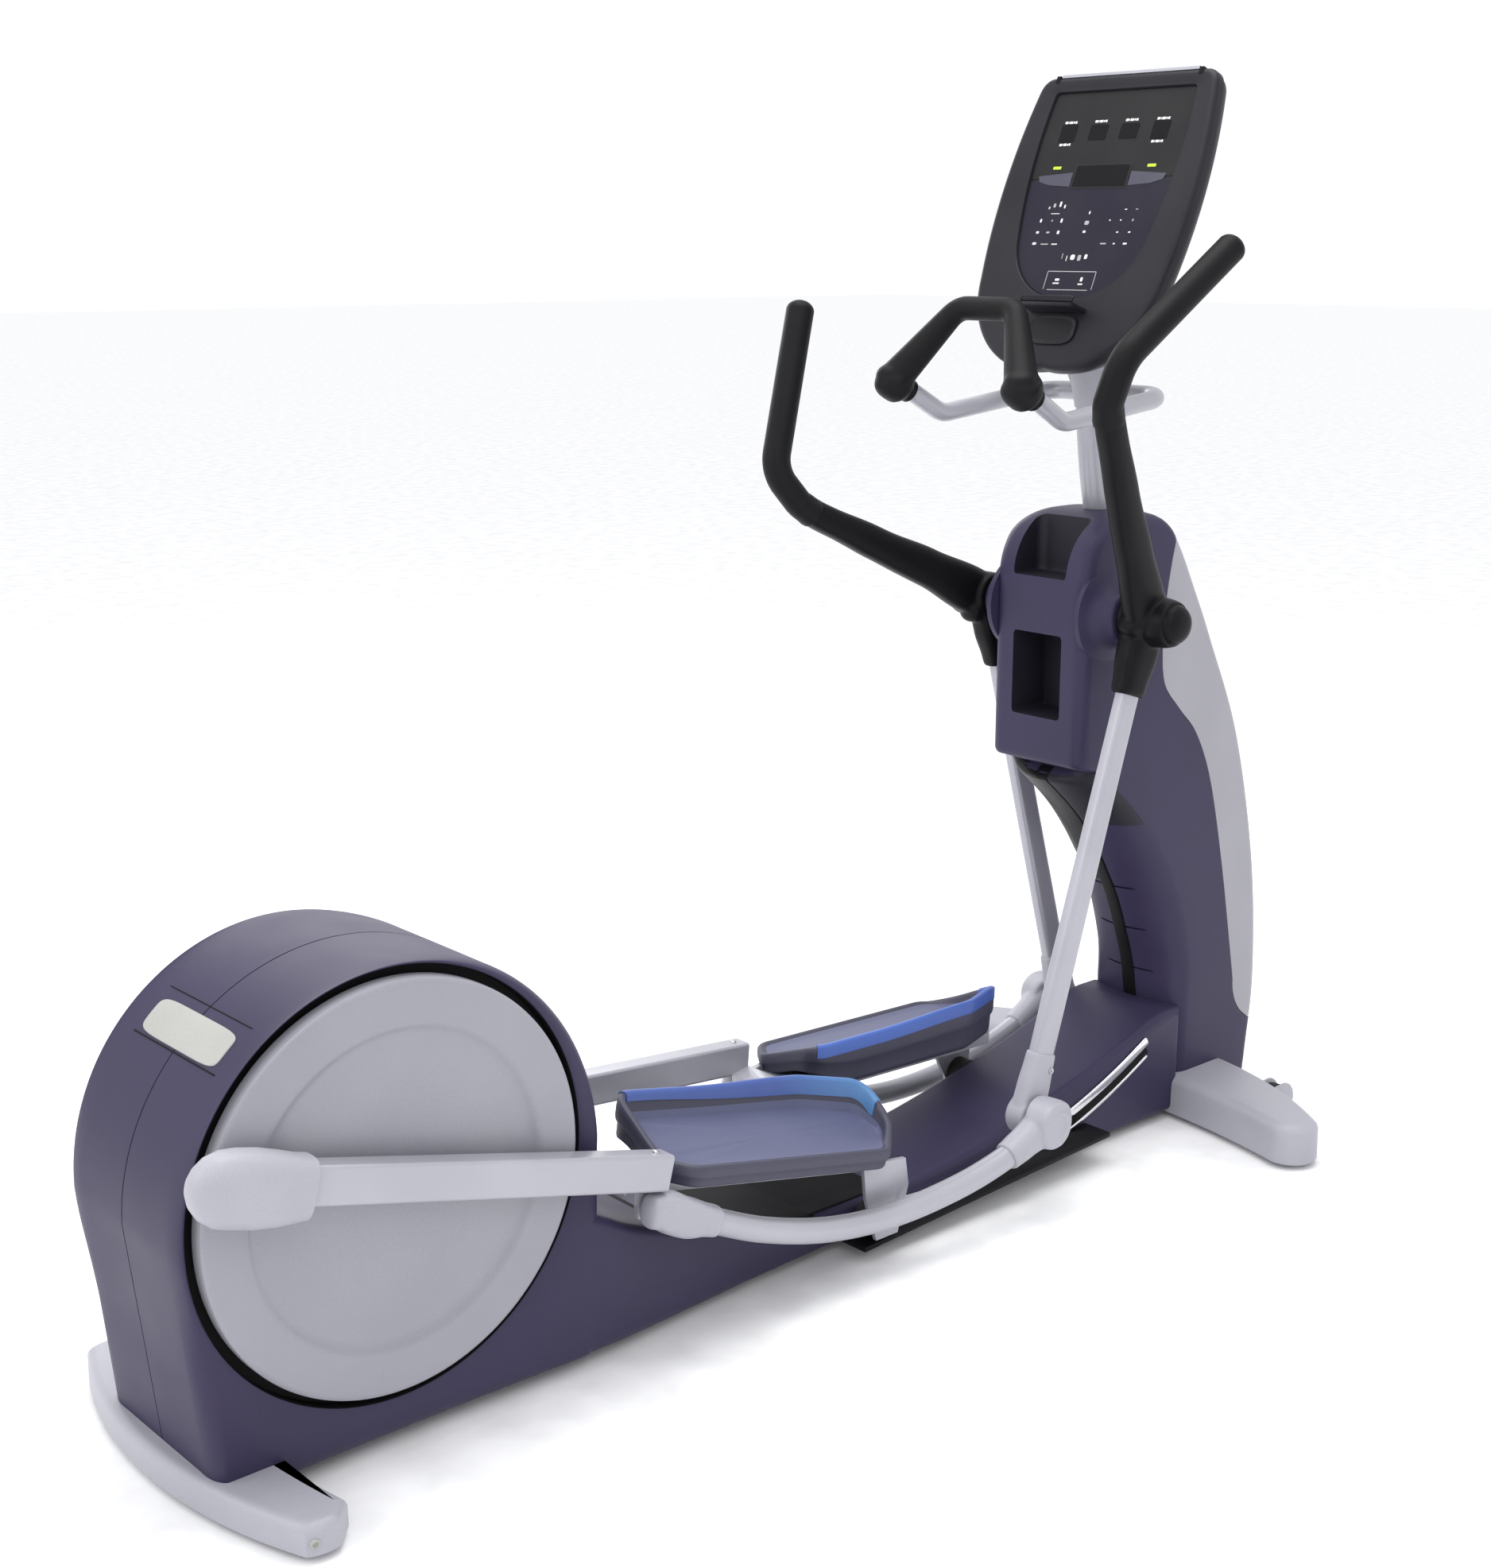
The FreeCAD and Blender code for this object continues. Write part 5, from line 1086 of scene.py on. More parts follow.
def make_console():
    count = 240
    outer = resample(console_outline(), count)
    panel = resample(panel_outline(), count)

    def ring_outer(inset, depth, lower=0.0):
        return [console_point(depth + lower * max(0.0, 1 - h / 150.0), y, h) for y, h in offset_outline(outer, inset)]

    def ring_panel(grow, depth):
        return [console_point(depth, y, h) for y, h in offset_outline(panel, -grow)]

    def blend_ring(share, depth):
        near = offset_outline(outer, 10)
        far = offset_outline(panel, -3.5)
        mixed = near + (far - near) * share
        return [console_point(depth, y, h) for y, h in mixed]

    rings = [ring_panel(-3, 9.0), ring_panel(0, 9.0), ring_panel(0.6, 8.0), ring_panel(1.0, 4.2), ring_panel(2.0, 3.2)]
    for share in (1.0, 0.82, 0.6, 0.4, 0.2, 0.0):
        rings.append(blend_ring(share, 3.0 - 2.8 * math.sin(math.pi / 2 * (1 - share)) + 0.2))
    for inset, depth in ((7.0, 0.5), (4.2, 1.6), (2.0, 3.6), (0.7, 6.4), (0.1, 10), (0.0, 19.6), (0.8, 20.6),
            (1.6, 20.8)):
        rings.append(ring_outer(inset, depth))
    bezel = skin("console_bezel", rings, [CONSOLE], angle=34)
    stand_for(bezel, "frame", "console_plastic", "console_bezel")

    rear = []
    for inset, depth in ((1.6, 20.9), (2.6, 21.2), (3.2, 22), (3.4, 26), (5, 33), (9, 41), (17, 49)):
        rear.append(ring_outer(inset, depth))
    low_edge = offset_outline(outer, 17)
    for share, depth in ((0.93, 53.4), (0.84, 57), (0.7, 60), (0.5, 61.4), (0.3, 61.8)):
        rear.append([console_point(depth, y * share, 290 + (h - 290) * share) for y, h in low_edge])
    back = skin("console_back", rear, [CONSOLE], angle=34)
    stand_for(back, "frame", "console_plastic", "console_housing")

    # upper and lower halves of the printed film
    def film(name, points, material, depth=8.2):
        inner = [console_point(depth - 0.25, y, h) for y, h in offset_outline(anticlockwise(points), 0.4)]
        rear_ring = [console_point(9.4, y, h) for y, h in anticlockwise(points)]
        front = [console_point(depth, y, h) for y, h in anticlockwise(points)]
        made = skin(name, [rear_ring, front, inner], [material], angle=30)
        return made

    upper = [(y, h) for y, h in offset_outline(panel, 0.6) if h > 322]
    lower = [(y, h) for y, h in offset_outline(panel, 0.6) if h <= 321.4]
    upper_sheet = film("console_film_upper", closed_cap(upper, 322), FILM_TOP)
    lower_sheet = film("console_film_lower", closed_cap(lower, 321.4), FILM_LOW)
    stand_for(upper_sheet, "frame", "keypad_film", "console_overlay")
    stand_for(lower_sheet, "frame", "keypad_film")

    def plate(name, points, material, slot, proud=0.7, node=None):
        """A thin flat shape on the film; points are (y, height)."""
        shape = anticlockwise(points)
        rings_here = [[console_point(8.3, y, h) for y, h in shape],
                      [console_point(7.95 - proud + 0.3, y, h) for y, h in shape],
                      [console_point(7.95 - proud, y, h) for y, h in offset_outline(shape, 0.3)]]
        made = skin(name, rings_here, [material], angle=30)
        stand_for(made, "frame", slot, *([node] if node else []))
        return made

    def soft_box(y, h, wide, tall, bend=2.0):
        return round_box((y, h), (wide / 2, tall / 2), bend, 4)

    plate("display_lens", soft_box(0, 325, 108, 36, 2.5), LENS, "lens", 1.0, "display_lens")
    plate("display_frame", soft_box(0, 325, 116, 43, 3.5), CONSOLE_BLACK_AND_SHADE, "console_plastic", 0.55)
    for index, y in enumerate((96, 33, -30, -93)):
        plate("window_" + str(index), soft_box(y, 400, 36 if abs(y) < 50 else 33, 26 if abs(y) < 50 else 30, 2.0),
                LENS, "lens", 0.9)
        label_bar(plate, "window_label_" + str(index), y, 418.5, 26)
        if abs(y) > 50:
            label_bar(plate, "window_foot_" + str(index), y, 380.5, 24)
    for sign, side in SIDES:
        wing = [(sign * 60, 332), (sign * 131, 327), (sign * 127, 317), (sign * 104, 311), (sign * 60, 308)]
        plate(side + "_wing", wing, WING, "keypad_film", 0.6)
        plate(side + "_mark", soft_box(sign * 97, 340.5, 17, 5.0, 1.2), LIME, "keypad_film", 0.55)
    keypad_marks(plate, soft_box)


def closed_cap(points, level):
    """Outline points on one side of a level line, put in order so that they close along it."""
    middle = level + (40 if points[0][1] > level else -40)
    return sorted(points, key=lambda p: math.atan2(p[1] - middle, p[0]))


def label_bar(plate, name, y, h, wide):
    """A printed bar of uneven blocks, standing for a caption without lettering."""
    cells = [0.26, 0.1, 0.3, 0.16, 0.18]
    at = y + wide / 2
    for index, share in enumerate(cells):
        width = wide * share
        centre = at - width / 2
        half = width / 2 - 0.5
        tall = 1.7 if index % 2 else 2.1
        plate(name + "_" + str(index), [(centre - half, h - tall), (centre + half, h - tall),
                (centre + half, h + tall), (centre - half, h + tall)],
              MARK, "keypad_film", 0.4)
        at -= width


def keypad_marks(plate, soft_box):
    """Rows of small generic key symbols and two framed keys at the bottom."""
    rows = [
        (78, 276, 5, 7), (66, 278, 4, 9), (56, 274, 3, 6), (88, 272, 4, 5), (72, 262, 18, 1.2),
        (98, 250, 4, 6), (74, 250, 3, 3), (54, 250, 4, 7),
        (98, 230, 6, 4), (76, 230, 7, 3), (54, 230, 5, 6),
        (98, 211, 8, 4), (76, 210, 16, 2), (55, 210, 12, 2),
        (0, 263, 3, 5), (0, 246, 9, 7), (0, 231, 6, 4),
        (-72, 268, 5, 1.6), (-94, 268, 5, 1.6), (-46, 250, 3, 2.4), (-68, 250, 3, 2.4), (-92, 250, 3, 4),
        (-68, 230, 4, 2.4), (-92, 230, 5, 2.4), (-46, 211, 12, 2.4), (-68, 211, 4, 2.4), (-90, 211, 8, 3),
        (30, 190, 1.6, 9), (20, 186, 1.6, 9), (8, 188, 9, 9), (-6, 187, 7, 10), (-19, 189, 6, 8),
    ]
    for index, (y, h, wide, tall) in enumerate(rows):
        bend = min(wide, tall) * 0.35
        plate("key_mark_" + str(index), soft_box(y, h, wide, tall, bend), MARK if index % 3 else MARK_DIM,
                "keypad_film", 0.4)
    # frame of the lower key pair, as four thin strips
    for index, (y, h, wide, tall) in enumerate(((0, 164, 100, 1.5), (0, 133, 84, 1.5), (50, 148.5, 1.5, 30),
            (-50, 148.5, 1.5, 30))):
        plate("key_frame_" + str(index), soft_box(y, h, wide, tall, 0.7), MARK_DIM, "keypad_film", 0.45)
    for index, (y, h, wide, tall) in enumerate(((26, 150, 9, 4), (27, 144, 13, 2.4), (-24, 151, 5, 7),
            (-24, 143, 10, 2.6))):
        plate("key_symbol_" + str(index), soft_box(y, h, wide, tall, 1.0), MARK, "keypad_film", 0.45)


def make_ledge():
    """Reading ledge over a shallow dish in the console's chin, its darker middle painted shade under the ledge."""
    rings = []
    for depth, half, low, high in ((-0.1, 58, 92, 101), (-6, 57, 92.2, 100.8), (-22, 55, 92.6, 100.4),
            (-29, 54, 92.6, 101), (-31.6, 53, 94, 108), (-30.4, 52.6, 95, 109.5),
                                   (-28.8, 52.4, 97, 109.0), (-27.6, 52.2, 98.6, 101.6)):
        ring = []
        for y, h in ((half, low + 2), (half - 3, low), (-half + 3, low), (-half, low + 2), (-half, high - 2),
                (-half + 3, high), (half - 3, high), (half, high - 2)):
            ring.append(console_point(depth, y, h))
        rings.append(ring)
    ledge = skin("reading_ledge", rings, [CONSOLE], angle=40)
    stand_for(ledge, "frame", "console_plastic", "reading_ledge")
    bowl = []
    for inset, depth in ((0, 0.05), (0, -1.0), (3.4, -1.2), (5.2, 0.02), (8, 0.04)):
        ring = []
        for k in range(72):
            c, s = squared(2 * math.pi * k / 72, 0.6)
            ring.append(console_point(depth - 0.9, (50 - inset) * c, 64 + (25 - inset) * s))
        bowl.append(ring)
    # The middle of the dish takes the darker material: painted shade under the ledge.
    recess = skin("chin_recess", bowl, [CONSOLE, CONSOLE_BLACK_AND_SHADE], face_material=lambda r, p: 1 if r >= 3 else 0, angle=34)
    for polygon in recess.data.polygons:
        if len(polygon.vertices) > 10:
            polygon.material_index = 1
    stand_for(recess, "frame", "console_plastic")


# ---------------------------------------------------------------- column
COLUMN_SIDE = 100.0
COLUMN_SOFT = 24.0
COLUMN_HIGH = 1092.0
CUT_REACH = 130                 # cutters pass both sides of the column
FACE_X = 1353.0


def smooth_pairs(points, step):
    return [(p[0], p[1]) for p in smooth_path(points, step)]


def undercut(step=12):
    """The concave rear edge below the face, from the ramp up to the chin."""
    return smooth_pairs([(1652, 207), (1650, 300), (1606, 430), (1518, 560), (1400, 668)], step)


def column_rear():
    run = undercut()
    run += straight((1400, 668), (FACE_X + 16, 677), 4)[1:]
    run += arc_points((FACE_X + 16, 677), (FACE_X + 4, 682), (FACE_X, 694), 5)[1:]
    run += straight((FACE_X, 694), (FACE_X, 985), 24)[1:]
    run += arc_points((FACE_X, 985), (1386, 1062), (1460, 1092), 24)[1:]
    run += straight((1460, 1092), (1520, 1092), 5)[1:]
    return run


def column_front():
    run = smooth_pairs([(1520, 1092), (1566, 1076), (1606, 1026), (1650, 952), (1700, 862), (1790, 680), (1856, 440),
            (1879, 220), (1866, 60)], 12)
    return run[1:]


def column_span(z):
    """Rear and front of the column's edges at a height."""
    rear = [(1652, 14)] + column_rear()
    front = [(1520, 1092)] + column_front() + [(1860, 14)]
    back = np.interp(z, [p[1] for p in rear], [p[0] for p in rear])
    fore = np.interp(-z, [-p[1] for p in front], [p[0] for p in front])
    return float(back), float(fore)


def keel(z):
    """How far the middle of the rear face stands behind its edges."""
    tall = float(np.interp(z, [14, 206, 279, 337, 396, 451, 640], [10, 16, 33, 42, 46, 50, 50]))
    fade = min(max((676 - z) / 30.0, 0.0), 1.0)
    return tall * fade * fade * (3 - 2 * fade)


def round_in(y):
    """How far the outline draws in towards the side faces."""
    over = max(0.0, abs(y) - (COLUMN_SIDE - COLUMN_SOFT))
    return COLUMN_SOFT - math.sqrt(max(COLUMN_SOFT ** 2 - over ** 2, 0.0))


def column_ring(z):
    """Plan outline of the column at a height, with a crowned rear face and rounded corners."""
    back, fore = column_span(z)
    top = max(0.0, z - (COLUMN_HIGH - 44.0)) / 44.0
    half = COLUMN_SIDE - 44.0 * (1 - math.sqrt(max(0.0, 1 - top * top)))
    soft = min(COLUMN_SOFT, 0.45 * (fore - back))

    def rear_point(y, x):
        return (x - keel(z) * (1 - (y / half) ** 2), y, z)

    flat = half - soft
    ring = [rear_point(flat - 2 * flat * k / 24, back) for k in range(24)]
    for k in range(8):
        a = math.pi / 2 * k / 8
        ring.append(rear_point(-flat - soft * math.sin(a), back + soft * (1 - math.cos(a))))
    ring += [(back + soft + (fore - back - 2 * soft) * k / 6, -half, z) for k in range(6)]
    for k in range(8):
        a = math.pi / 2 * k / 8
        ring.append((fore - soft + soft * math.sin(a), -flat - soft * math.cos(a), z))
    ring += [(fore, -flat + 2 * flat * k / 10, z) for k in range(10)]
    for k in range(8):
        a = math.pi / 2 * k / 8
        ring.append((fore - soft + soft * math.cos(a), flat + soft * math.sin(a), z))
    ring += [(fore - soft - (fore - back - 2 * soft) * k / 6, half, z) for k in range(6)]
    for k in range(8):
        a = math.pi / 2 * (1 - k / 8)
        ring.append(rear_point(flat + soft * math.sin(a), back + soft * (1 - math.cos(a))))
    return ring


def column_heights():
    wanted = sorted([p[1] for p in column_rear()] + [p[1] for p in column_front()] + [14.0, 60.0, 110.0,
            160.0] + [1092 - 44 * (1 - math.cos(math.pi / 2 * k / 9)) for k in range(10)])
    kept = [wanted[0]]
    for z in wanted[1:]:
        if z - kept[-1] > 1.2:
            kept.append(z)
    kept[-1] = 1091.8
    return kept


def column_form(name, material):
    return skin(name, [column_ring(z) for z in column_heights()], [material], angle=50)


def cover_region(grow):
    inner = smooth_pairs([(1606, 1110), (1577, 1030), (1560, 940), (1556, 870), (1566, 800), (1608, 752), (1660, 700),
            (1706, 610), (1750, 457), (1786, 301),
                          (1803, 222)], 12)
    inner += arc_points((1803, 222), (1822, 166), (1884, 132), 12)[1:]
    region = inner + [(1960, 110), (1960, 1110)]
    return offset_outline(anticlockwise(region), -grow)


def block(name, outline, y0, y1):
    """A plain cutter through the given outline."""
    return skin(name, [[(x, y0, z) for x, z in outline], [(x, y1, z) for x, z in outline]], [SHELL])


def soft_cutter(x0, x1, half, z0, z1, bend):
    """A cutter along X with rounded corners in the YZ plane."""
    middle = (z0 + z1) / 2
    ring = round_box((0, middle), (half, (z1 - z0) / 2), bend, 6)
    rings = [[(x0, y, z) for y, z in ring], [(x1 - 10, y, z) for y, z in ring]]
    rings.append([(x1 - 3, y * 0.985, middle + (z - middle) * 0.985) for y, z in ring])
    rings.append([(x1, y * 0.95, middle + (z - middle) * 0.96) for y, z in ring])
    return skin("cutter", rings, [SHELL_SHADE])


def make_column():
    body = column_form("column_body", SHELL)
    # Second slot: the darker shell copy, painted shade meant for the cut faces of the recesses.
    body.data.materials.append(SHELL_SHADE)
    body = cut(body, block("cutter", cover_region(1.6), -CUT_REACH, CUT_REACH))
    body = cut(body, soft_cutter(1300, 1436, 52, 757, 897, 7))
    body = cut(body, tray_cutter())
    for z in (262, 344, 426):
        body = cut(body, groove_cutter(z))
    stand_for(body, "frame", "shell_plastic", "right_column_shell", "left_column_shell", "column_back_panel")

    cover = column_form("column_front_cover", COVER)
    outside = block("outside", cover_region(0.0), -CUT_REACH, CUT_REACH)
    cover = cut(cover, outside, "INTERSECT")
    stand_for(cover, "frame", "cover_plastic", "column_front_cover")

    for sign, side in SIDES:
        profile = [(0, 138.6), (36, 138.6), (41, 137.8), (43.5, 135.5), (45.5, 130), (48, 122), (52, 114), (58, 107),
                (66, 102.4), (76, 100.2), (80, 99), (80, 90), (0, 90)]
        boss = lathe(side + "_pivot_boss", [(r, sign * y) for r, y in profile], HANDLE_PIVOT, [SHELL], 96)
        boss.data.set_sharp_from_angle(angle=math.radians(60))
        stand_for(boss, "frame", "shell_plastic")
        ring = lathe(side + "_pivot_ring", [(0, sign * 147.5), (30, sign * 147.5), (33, sign * 146.6),
                (34, sign * 144.5), (34, sign * 138), (0, sign * 138)],
                     HANDLE_PIVOT, [BLACK], 72)
        stand_for(ring, "frame", "black_plastic")
    make_column_linings()


def tray_cutter():
    """Scoop for the accessory tray in the rounded rear shoulder, open towards the user."""
    plan = round_box((1378, 0), (42, 56), 16, 8)
    rings = []
    for z, shrink in ((990, 0.93), (991.5, 0.97), (995, 0.99), (1002, 1.0), (1060, 1.0), (1120, 1.03)):
        rings.append([(1378 + (x - 1378) * (shrink if x > 1378 else 1.0) - (16 if x < 1378 else 0), y * shrink,
                z) for x, y in plan])
    return skin("cutter", rings, [SHELL_SHADE])


def rear_at(z):
    rear = undercut()
    return float(np.interp(z, [p[1] for p in rear], [p[0] for p in rear]))


def groove_cutter(z):
    """A thin level groove across the lower rear face, its lower side sloping out."""
    rings = []
    for y, wide in ((-54, 0.2), (-46, 1.0), (0, 1.0), (46, 1.0), (54, 0.2)):
        back = rear_at(z) - keel(z) * (1 - (y / COLUMN_SIDE) ** 2)
        rings.append([(back - 12, y, z + 2.4 * wide), (back + 7 * wide, y, z + 1.6 * wide),
                (back + 7 * wide, y, z + 0.6 * wide), (back - 12, y, z - 4.4 * wide)])
    return skin("cutter", rings, [SHELL])


def rear_surface(y, place, inwards, lift):
    """A point lift off the undercut, from a point of its edge line and the direction into the column."""
    x = place[0] + round_in(y) - keel(place[1]) * (1 - (y / COLUMN_SIDE) ** 2) - inwards[0] * lift
    return (x, y, place[1] - inwards[1] * lift)


def rear_panel(name, low, high, across, lift, material):
    """A thin panel on the undercut between two heights, across(z) giving its two edges in y."""
    line = [p for p in undercut(6) if low <= p[1] <= high]
    rings = []
    for index, place in enumerate(line):
        d = np.array(line[min(index + 1, len(line) - 1)]) - np.array(line[max(index - 1, 0)])
        d = d / np.linalg.norm(d)
        inwards = (d[1], -d[0])
        y0, y1 = across(place[1])
        face = [rear_surface(y0 + (y1 - y0) * k / 16, place, inwards,
                lift if 0 < k < 16 else lift * 0.4) for k in range(17)]
        back = [rear_surface(y1, place, inwards, -5), rear_surface(y0, place, inwards, -5)]
        rings.append(face + back)
    panel = skin(name, rings, [material])
    stand_for(panel, "frame", "black_plastic")
    return panel


def make_column_linings():
    """Black centre strip down the undercut; below the chin, dark sheets of painted shade spread out from it on both
    halves.
    """
    strip = rear_panel("column_centre_strip", 206, 672, lambda z: (-14, 14), 1.6, BLACK)
    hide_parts("column_trim")

    def left_edges(z):
        reach = min(1.0, max(0.0, (z - 430) / 60))
        return (12, 14 + 84 * reach)

    def right_edges(z):
        reach = min(1.0, max(0.0, (z - 430) / 60))
        return (-14 - 84 * reach, -12)

    # Far half below the chin: a black sheet, painted shade where that half faces away from the light.
    rear_panel("column_lining_left", 432, 672, left_edges, 0.9, BLACK)
    # Near half below the chin: a darker shell sheet, painted shade under the chin.
    rear_panel("column_lining_right", 560, 672, right_edges, 0.9, SHELL_SHADE)


# ---------------------------------------------------------------- ramp
def ramp_outline():
    run = straight((327, 14), (1652, 14), 60)
    run += straight((1652, 14), (1652, 206), 10)[1:]
    run += straight((1652, 206), (1608, 206), 5)[1:]
    run += smooth_pairs([(1608, 206), (1575, 199), (1530, 184), (1400, 146), (1275, 117), (1130, 90), (1010, 76),
            (930, 73)], 14)[1:]
    run += straight((930, 73), (327, 73), 30)[1:]
    run += straight((327, 73), (327, 14), 5)[1:-1]
    return anticlockwise(run)


def make_ramp():
    body = rounded_slab("ramp_shroud", ramp_outline(), -104, 104, 13, [SHELL], 6)
    stand_for(body, "frame", "shell_plastic", "ramp_shroud")
    make_fairing()
    for sign, side in SIDES:
        def rail_line(drop):
            run = arc_points((930, 49 - drop), (1290, 69 - drop), (1552, 167 - drop), 60)
            return [(x, sign * 106.4, z) for x, z in run]
        upper = sweep(side + "_rail_upper", rail_line(0), lambda t: (3.4, 8.2), [CHROME], 20, 3.4, (2, 2))
        stand_for(upper, "frame", "rail_chrome", *(["ramp_rails"] if side == "right" else []))
        # Near-black strip between the chrome rails: painted shade of the gap.
        gap = sweep(side + "_rail_gap", rail_line(16.5), lambda t: (2.4, 9.0), [SEAM_AND_SHADE], 16, 3.4, (2, 2))
        stand_for(gap, "frame", "black_plastic")
        lower = sweep(side + "_rail_lower", rail_line(28.5), lambda t: (3.4, 3.2), [CHROME], 20, 2.4, (2, 2))
        stand_for(lower, "frame", "rail_chrome")


FAIRING_SOFT = 15.0
SHADE_SHEET_MIDDLE = 775


def make_fairing():
    """The casing's sides carried on into the ramp, and a thin near-black sheet on the ramp behind the rollers: painted
    shade under the pedals.
    """
    table = smooth_path([(286, 145.8, 246), (340, 145.4, 216), (400, 141, 184), (525, 127, 136), (660, 112, 96),
            (788, 104.2, 70)], 12)
    rings = []
    for x, half, top in table:
        soft = FAIRING_SOFT
        foot = 33.0 - 20.0 * min(1.0, (x - 286) / 400)
        ring = [(x, -half + foot * (1 - math.cos(a)), 14 + foot * (1 - math.sin(a))) for a in np.linspace(math.pi / 2,
                0, 6)]
        ring += [(x, -half + soft * (1 - math.cos(a)), top - soft * (1 - math.sin(a))) for a in np.linspace(0,
                math.pi / 2, 7)]
        ring += [(x, y, top) for y in np.linspace(-half + soft, half - soft, 12)[1:-1]]
        ring += [(x, half - soft * (1 - math.sin(a)), top - soft * (1 - math.cos(a))) for a in np.linspace(0,
                math.pi / 2, 7)]
        ring += [(x, half - foot * (1 - math.cos(a)), 14 + foot * (1 - math.sin(a))) for a in np.linspace(0,
                math.pi / 2, 6)]
        rings.append(ring)
    # From x 455 on, the top faces take the near-black material: painted shade under the pedal.
    painted_shade_from = sum(1 for place in table if place[0] < 455)
    fairing = skin("ramp_fairing", rings, [SHELL, SEAM_AND_SHADE], face_material=lambda r,
            p: 1 if r >= painted_shade_from and 10 <= p <= 24 else 0, angle=50)
    stand_for(fairing, "frame", "shell_plastic")
    # Thin near-black sheet on the ramp top: painted shade under the pedals.
    plan = round_box((SHADE_SHEET_MIDDLE, 0), (148, 92), 20, 6)
    shade_rings = [[(SHADE_SHEET_MIDDLE + (x - SHADE_SHEET_MIDDLE) * grow, y * grow, z) for x, y in plan] for grow,
            z in ((1.0, 68), (1.0, 74.2), (0.995, 75.4), (0.97, 75.6), (0.94, 74.4), (0.5, 74.4))]
    stand_for(skin("ramp_well", shade_rings, [SEAM_AND_SHADE]), "frame", "black_plastic")


# ---------------------------------------------------------------- feet
def plan_form(name, outline, levels, materials):
    """Plan outline (x, y) stacked at levels of (height, inset)."""
    base = anticlockwise(outline)
    rings = [[(x, y, z) for x, y in offset_outline(base, inset)] for z, inset in levels]
    return skin(name, rings, materials, angle=36)


def make_feet():
    back = arc_points((-232, -292), (-292, 0), (-232, 292), 64)
    end_left = arc_points((-232, 292), (-212, 299), (-186, 297), 6)[1:] + straight((-186, 297), (-158, 266), 6)[1:]
    front = arc_points((-158, 266), (-182, 0), (-158, -266), 64)[1:]
    end_right = straight((-158, -266), (-186, -297), 6)[1:] + arc_points((-186, -297), (-212, -299), (-232, -292),
            6)[1:-1]
    rear = plan_form("rear_foot", back + end_left + front + end_right,
                     [(8, 6), (8.4, 2), (10.5, 0), (38, 0.6), (44, 3), (47.6, 6.5), (49.6, 11), (50, 16)],
                     [SILVER_PLASTIC])
    stand_for(rear, "frame", "silver_plastic", "rear_stabilizer")

    back = arc_points((1590, -352), (1636, 0), (1590, 352), 64)
    end_left = arc_points((1590, 352), (1622, 398), (1668, 388), 12)[1:]
    front = arc_points((1668, 388), (1794, 0), (1668, -388), 72)[1:]
    end_right = arc_points((1668, -388), (1622, -398), (1590, -352), 12)[1:-1]
    fore = plan_form("front_foot", back + end_left + front + end_right,
                     [(8, 6), (8.6, 2), (11, 0), (64, 0.8), (70, 3.4), (74.4, 8), (77.2, 13), (78, 19)],
                     [SILVER_PLASTIC])
    for sign in (1, -1):
        low, high = sorted((sign * 213, sign * 241))
        fore = cut(fore, block("cutter", anticlockwise(circle(1768, 34, 34, 20)), low, high))
    stand_for(fore, "frame", "silver_plastic", "front_stabilizer")
    for sign, side in SIDES:
        for edge, y in (("inner", 209.0), ("outer", 241.5)):
            low, high = sorted((sign * y, sign * (y + 4.5)))
            outline = arc_points((1762, 12), (1800, 40), (1770, 72), 22) + [(1740, 70), (1736, 14)]
            cheek = rounded_slab(side + "_wheel_cheek_" + edge, anticlockwise(outline), low, high, 1.6,
                    [SILVER_PLASTIC], 3)
            stand_for(cheek, "frame", "silver_plastic")
        wheel_profile = [(0, -13), (10, -13), (12, -11.4), (22, -11.4), (24, -13), (30, -12.6), (31.6, -10.5),
                (32, -7), (32, 7), (31.6, 10.5), (30, 12.6),
                         (24, 13), (22, 11.4), (12, 11.4), (10, 13), (0, 13)]
        wheel = lathe(side + "_wheel_tyre", [(r, y + sign * 227) for r, y in wheel_profile], (1768, 34), [TREAD], 72)
        stand_for(wheel, side + "_transport_wheel", "tread_rubber", side + "_transport_wheel")
        for label, place, facing in (("rear", (-222.5, sign * 298.6, 27), (-0.15, sign, 0)),
                ("front", (1640, sign * 396.6, 30), (0.1, sign, 0))):
            plug = small_turned(side + "_" + label + "_plug", [(0, -1.6), (2.6, -1.6), (3.2, -0.6), (4.0, 0.9),
                    (5.2, 1.3), (6.0, 0.6), (6.2, -4), (0, -4)],
                                28, PALE, place, facing)
            stand_for(plug, "frame", "silver_plastic")


BOLT_BACK = 20
BOLT_RISE = 26


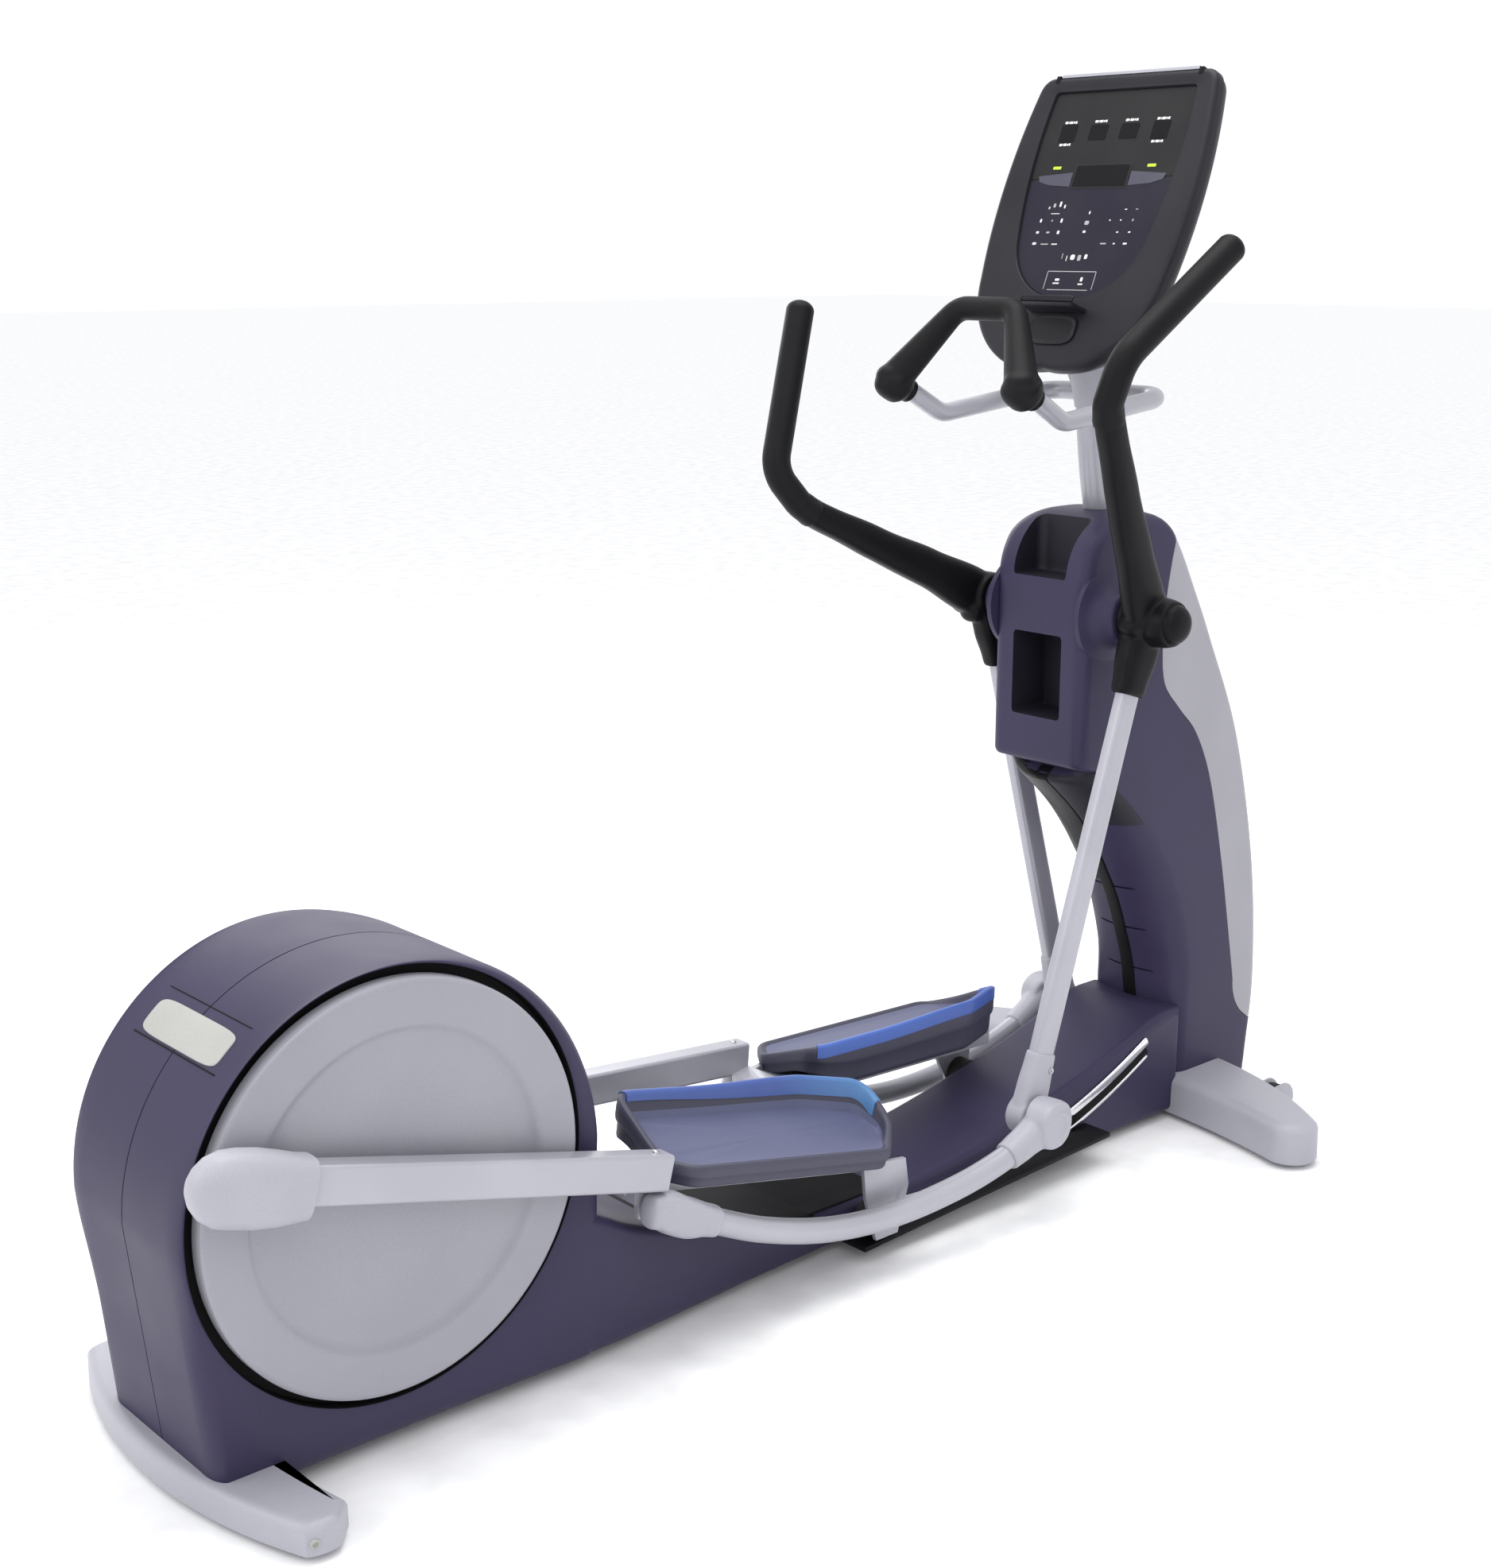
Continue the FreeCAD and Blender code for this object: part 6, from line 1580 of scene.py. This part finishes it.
def make_small_parts():
    """Console band with black blocks at its ends as painted shade of corner notches, the bolt on each foot arm and the
    nuts of the roller brackets.
    """
    rings = []
    for h, front, rear in ((499.2, 1.5, 19.5), (500.4, 3.0, 18.5)):
        rings.append([console_point(d, y, h) for y, d in ((139, front), (139, rear), (-139, rear), (-139, front))])
    band = skin("console_top_band", [[console_point(d, y, 494.5) for y,
            d in ((139, 1.0), (139, 20), (-139, 20), (-139, 1.0))]] + rings, [DISC])
    stand_for(band, "frame", "console_plastic")
    for sign, side in SIDES:
        # A near-black block at each end of the band: painted shade of a notch in the console's top corner.
        ring_low = [console_point(d, y, 486) for y, d in ((sign * 141, -0.4), (sign * 141, 21), (sign * 150, 21),
                (sign * 150, -0.4))]
        ring_high = [console_point(d, y, 497.6) for y, d in ((sign * 141, 0.2), (sign * 141, 20.4), (sign * 149, 20.4),
                (sign * 149, 0.2))]
        notch_shade = skin(side + "_console_notch", [ring_low, ring_high], [LENS])
        stand_for(notch_shade, "frame", "console_plastic")
    slope = math.atan2(ARM_END[1] - PIN[1], ARM_END[0] - PIN[0])
    x = ARM_END[0] - BOLT_BACK * math.cos(slope) - BOLT_RISE * math.sin(slope)
    z = ARM_END[1] - BOLT_BACK * math.sin(slope) + BOLT_RISE * math.cos(slope)
    bolt = small_turned("arm_bolt_0", [(0, 3.6), (2.4, 3.4), (4.2, 2.6), (5.4, 1.2), (5.8, 0), (5.8, -3), (0, -3)], 30,
            STEEL, (x, -186, z), (0.26, 0, 1))
    add_pair(bolt, "foot_arm", "steel")
    nut = small_turned("roller_nut", [(0, 3.5), (5, 3.5), (6, 2.6), (9.4, 2.4), (10.6, 1.2), (10.6, -2), (0, -2)], 6,
            STEEL,
                       (ROLLER[0], -168, ROLLER[1]), (0, -1, 0))
    add_pair(nut, "foot_arm", "steel")


# ---------------------------------------------------------------- CAD nodes that stay as they are
WELD_DISTANCE = 0.00002


def soften_edges(node, width, angle=32.0):
    """Small rounded edges on a CAD solid, without moving its faces."""
    weld = node.modifiers.new("weld", "WELD")
    weld.merge_threshold = WELD_DISTANCE
    flat = node.modifiers.new("flat", "DECIMATE")
    flat.decimate_type = "DISSOLVE"
    flat.angle_limit = math.radians(1.5)
    bevel = node.modifiers.new("bevel", "BEVEL")
    bevel.width = width / 1000
    bevel.segments = 3
    bevel.limit_method = "ANGLE"
    bevel.angle_limit = math.radians(angle)
    bevel.use_clamp_overlap = True
    bevel.harden_normals = False
    node.data.shade_smooth()
    node.data.set_sharp_from_angle(angle=math.radians(45))


def dress_cad_nodes():
    dress = {
        "base_frame": (BLACK, 1.5), "levelling_feet": (TREAD, 0), "wheel_axles": (STEEL, 0), "drive_pulley": (BLACK, 0),
        "crankshaft": (STEEL, 0), "crank_bearings": (STEEL, 0), "flywheel": (IRON, 0), "brake_unit": (IRON, 0),
                "drive_belt": (TREAD, 0),
        "handle_axle": (STEEL, 0), "roller_tracks": (BLACK, 1.0), "crank_discs": (DISC, 0), "crank_pin": (STEEL, 0),
                "roller_axle": (STEEL, 0),
        "foot_arm": (SILVER, 2.0), "roller": (TREAD, 0), "transport_wheel": (TREAD, 0), "column_trim": (BLACK, 0),
        "column_shell": (SHELL, 0), "column_back_panel": (SHELL, 0), "column_front_cover": (COVER, 0),
                "ramp_shroud": (SHELL, 0), "ramp_rails": (CHROME, 0),
        "rear_stabilizer": (SILVER_PLASTIC, 0), "front_stabilizer": (SILVER_PLASTIC, 0),
    }
    for name, node in nodes.items():
        plain = name.replace("right_", "").replace("left_", "")
        material, width = dress.get(plain, (SHELL, 0))
        node.data.materials.clear()
        node.data.materials.append(material)
        if width and not node.hide_render:
            soften_edges(node, width)
        elif not node.hide_render:
            weld = node.modifiers.new("weld", "WELD")
            weld.merge_threshold = WELD_DISTANCE
            node.data.shade_smooth()
            node.data.set_sharp_from_angle(angle=math.radians(30))


def make_floor():
    verts = []
    faces = []
    steps = 24
    reach = 45.0
    for j in range(steps + 1):
        for i in range(steps + 1):
            verts.append((-reach + 2 * reach * i / steps, -reach + 2 * reach * j / steps, -0.0005))
    for j in range(steps):
        for i in range(steps):
            a = j * (steps + 1) + i
            faces.append((a, a + 1, a + steps + 2, a + steps + 1))
    data = bpy.data.meshes.new("floor")
    data.from_pydata(verts, [], faces)
    data.materials.append(FLOOR)
    floor = bpy.data.objects.new("floor", data)
    bpy.context.scene.collection.objects.link(floor)


make_camera()
make_lights()
make_housing()
make_insert()
make_discs()
make_crank_cover()
make_pedals()
make_link()
make_rod()
make_handle()
make_fixed_bar()
make_mast()
make_console()
make_ledge()
make_column()
make_ramp()
make_feet()
make_small_parts()
dress_cad_nodes()
make_floor()
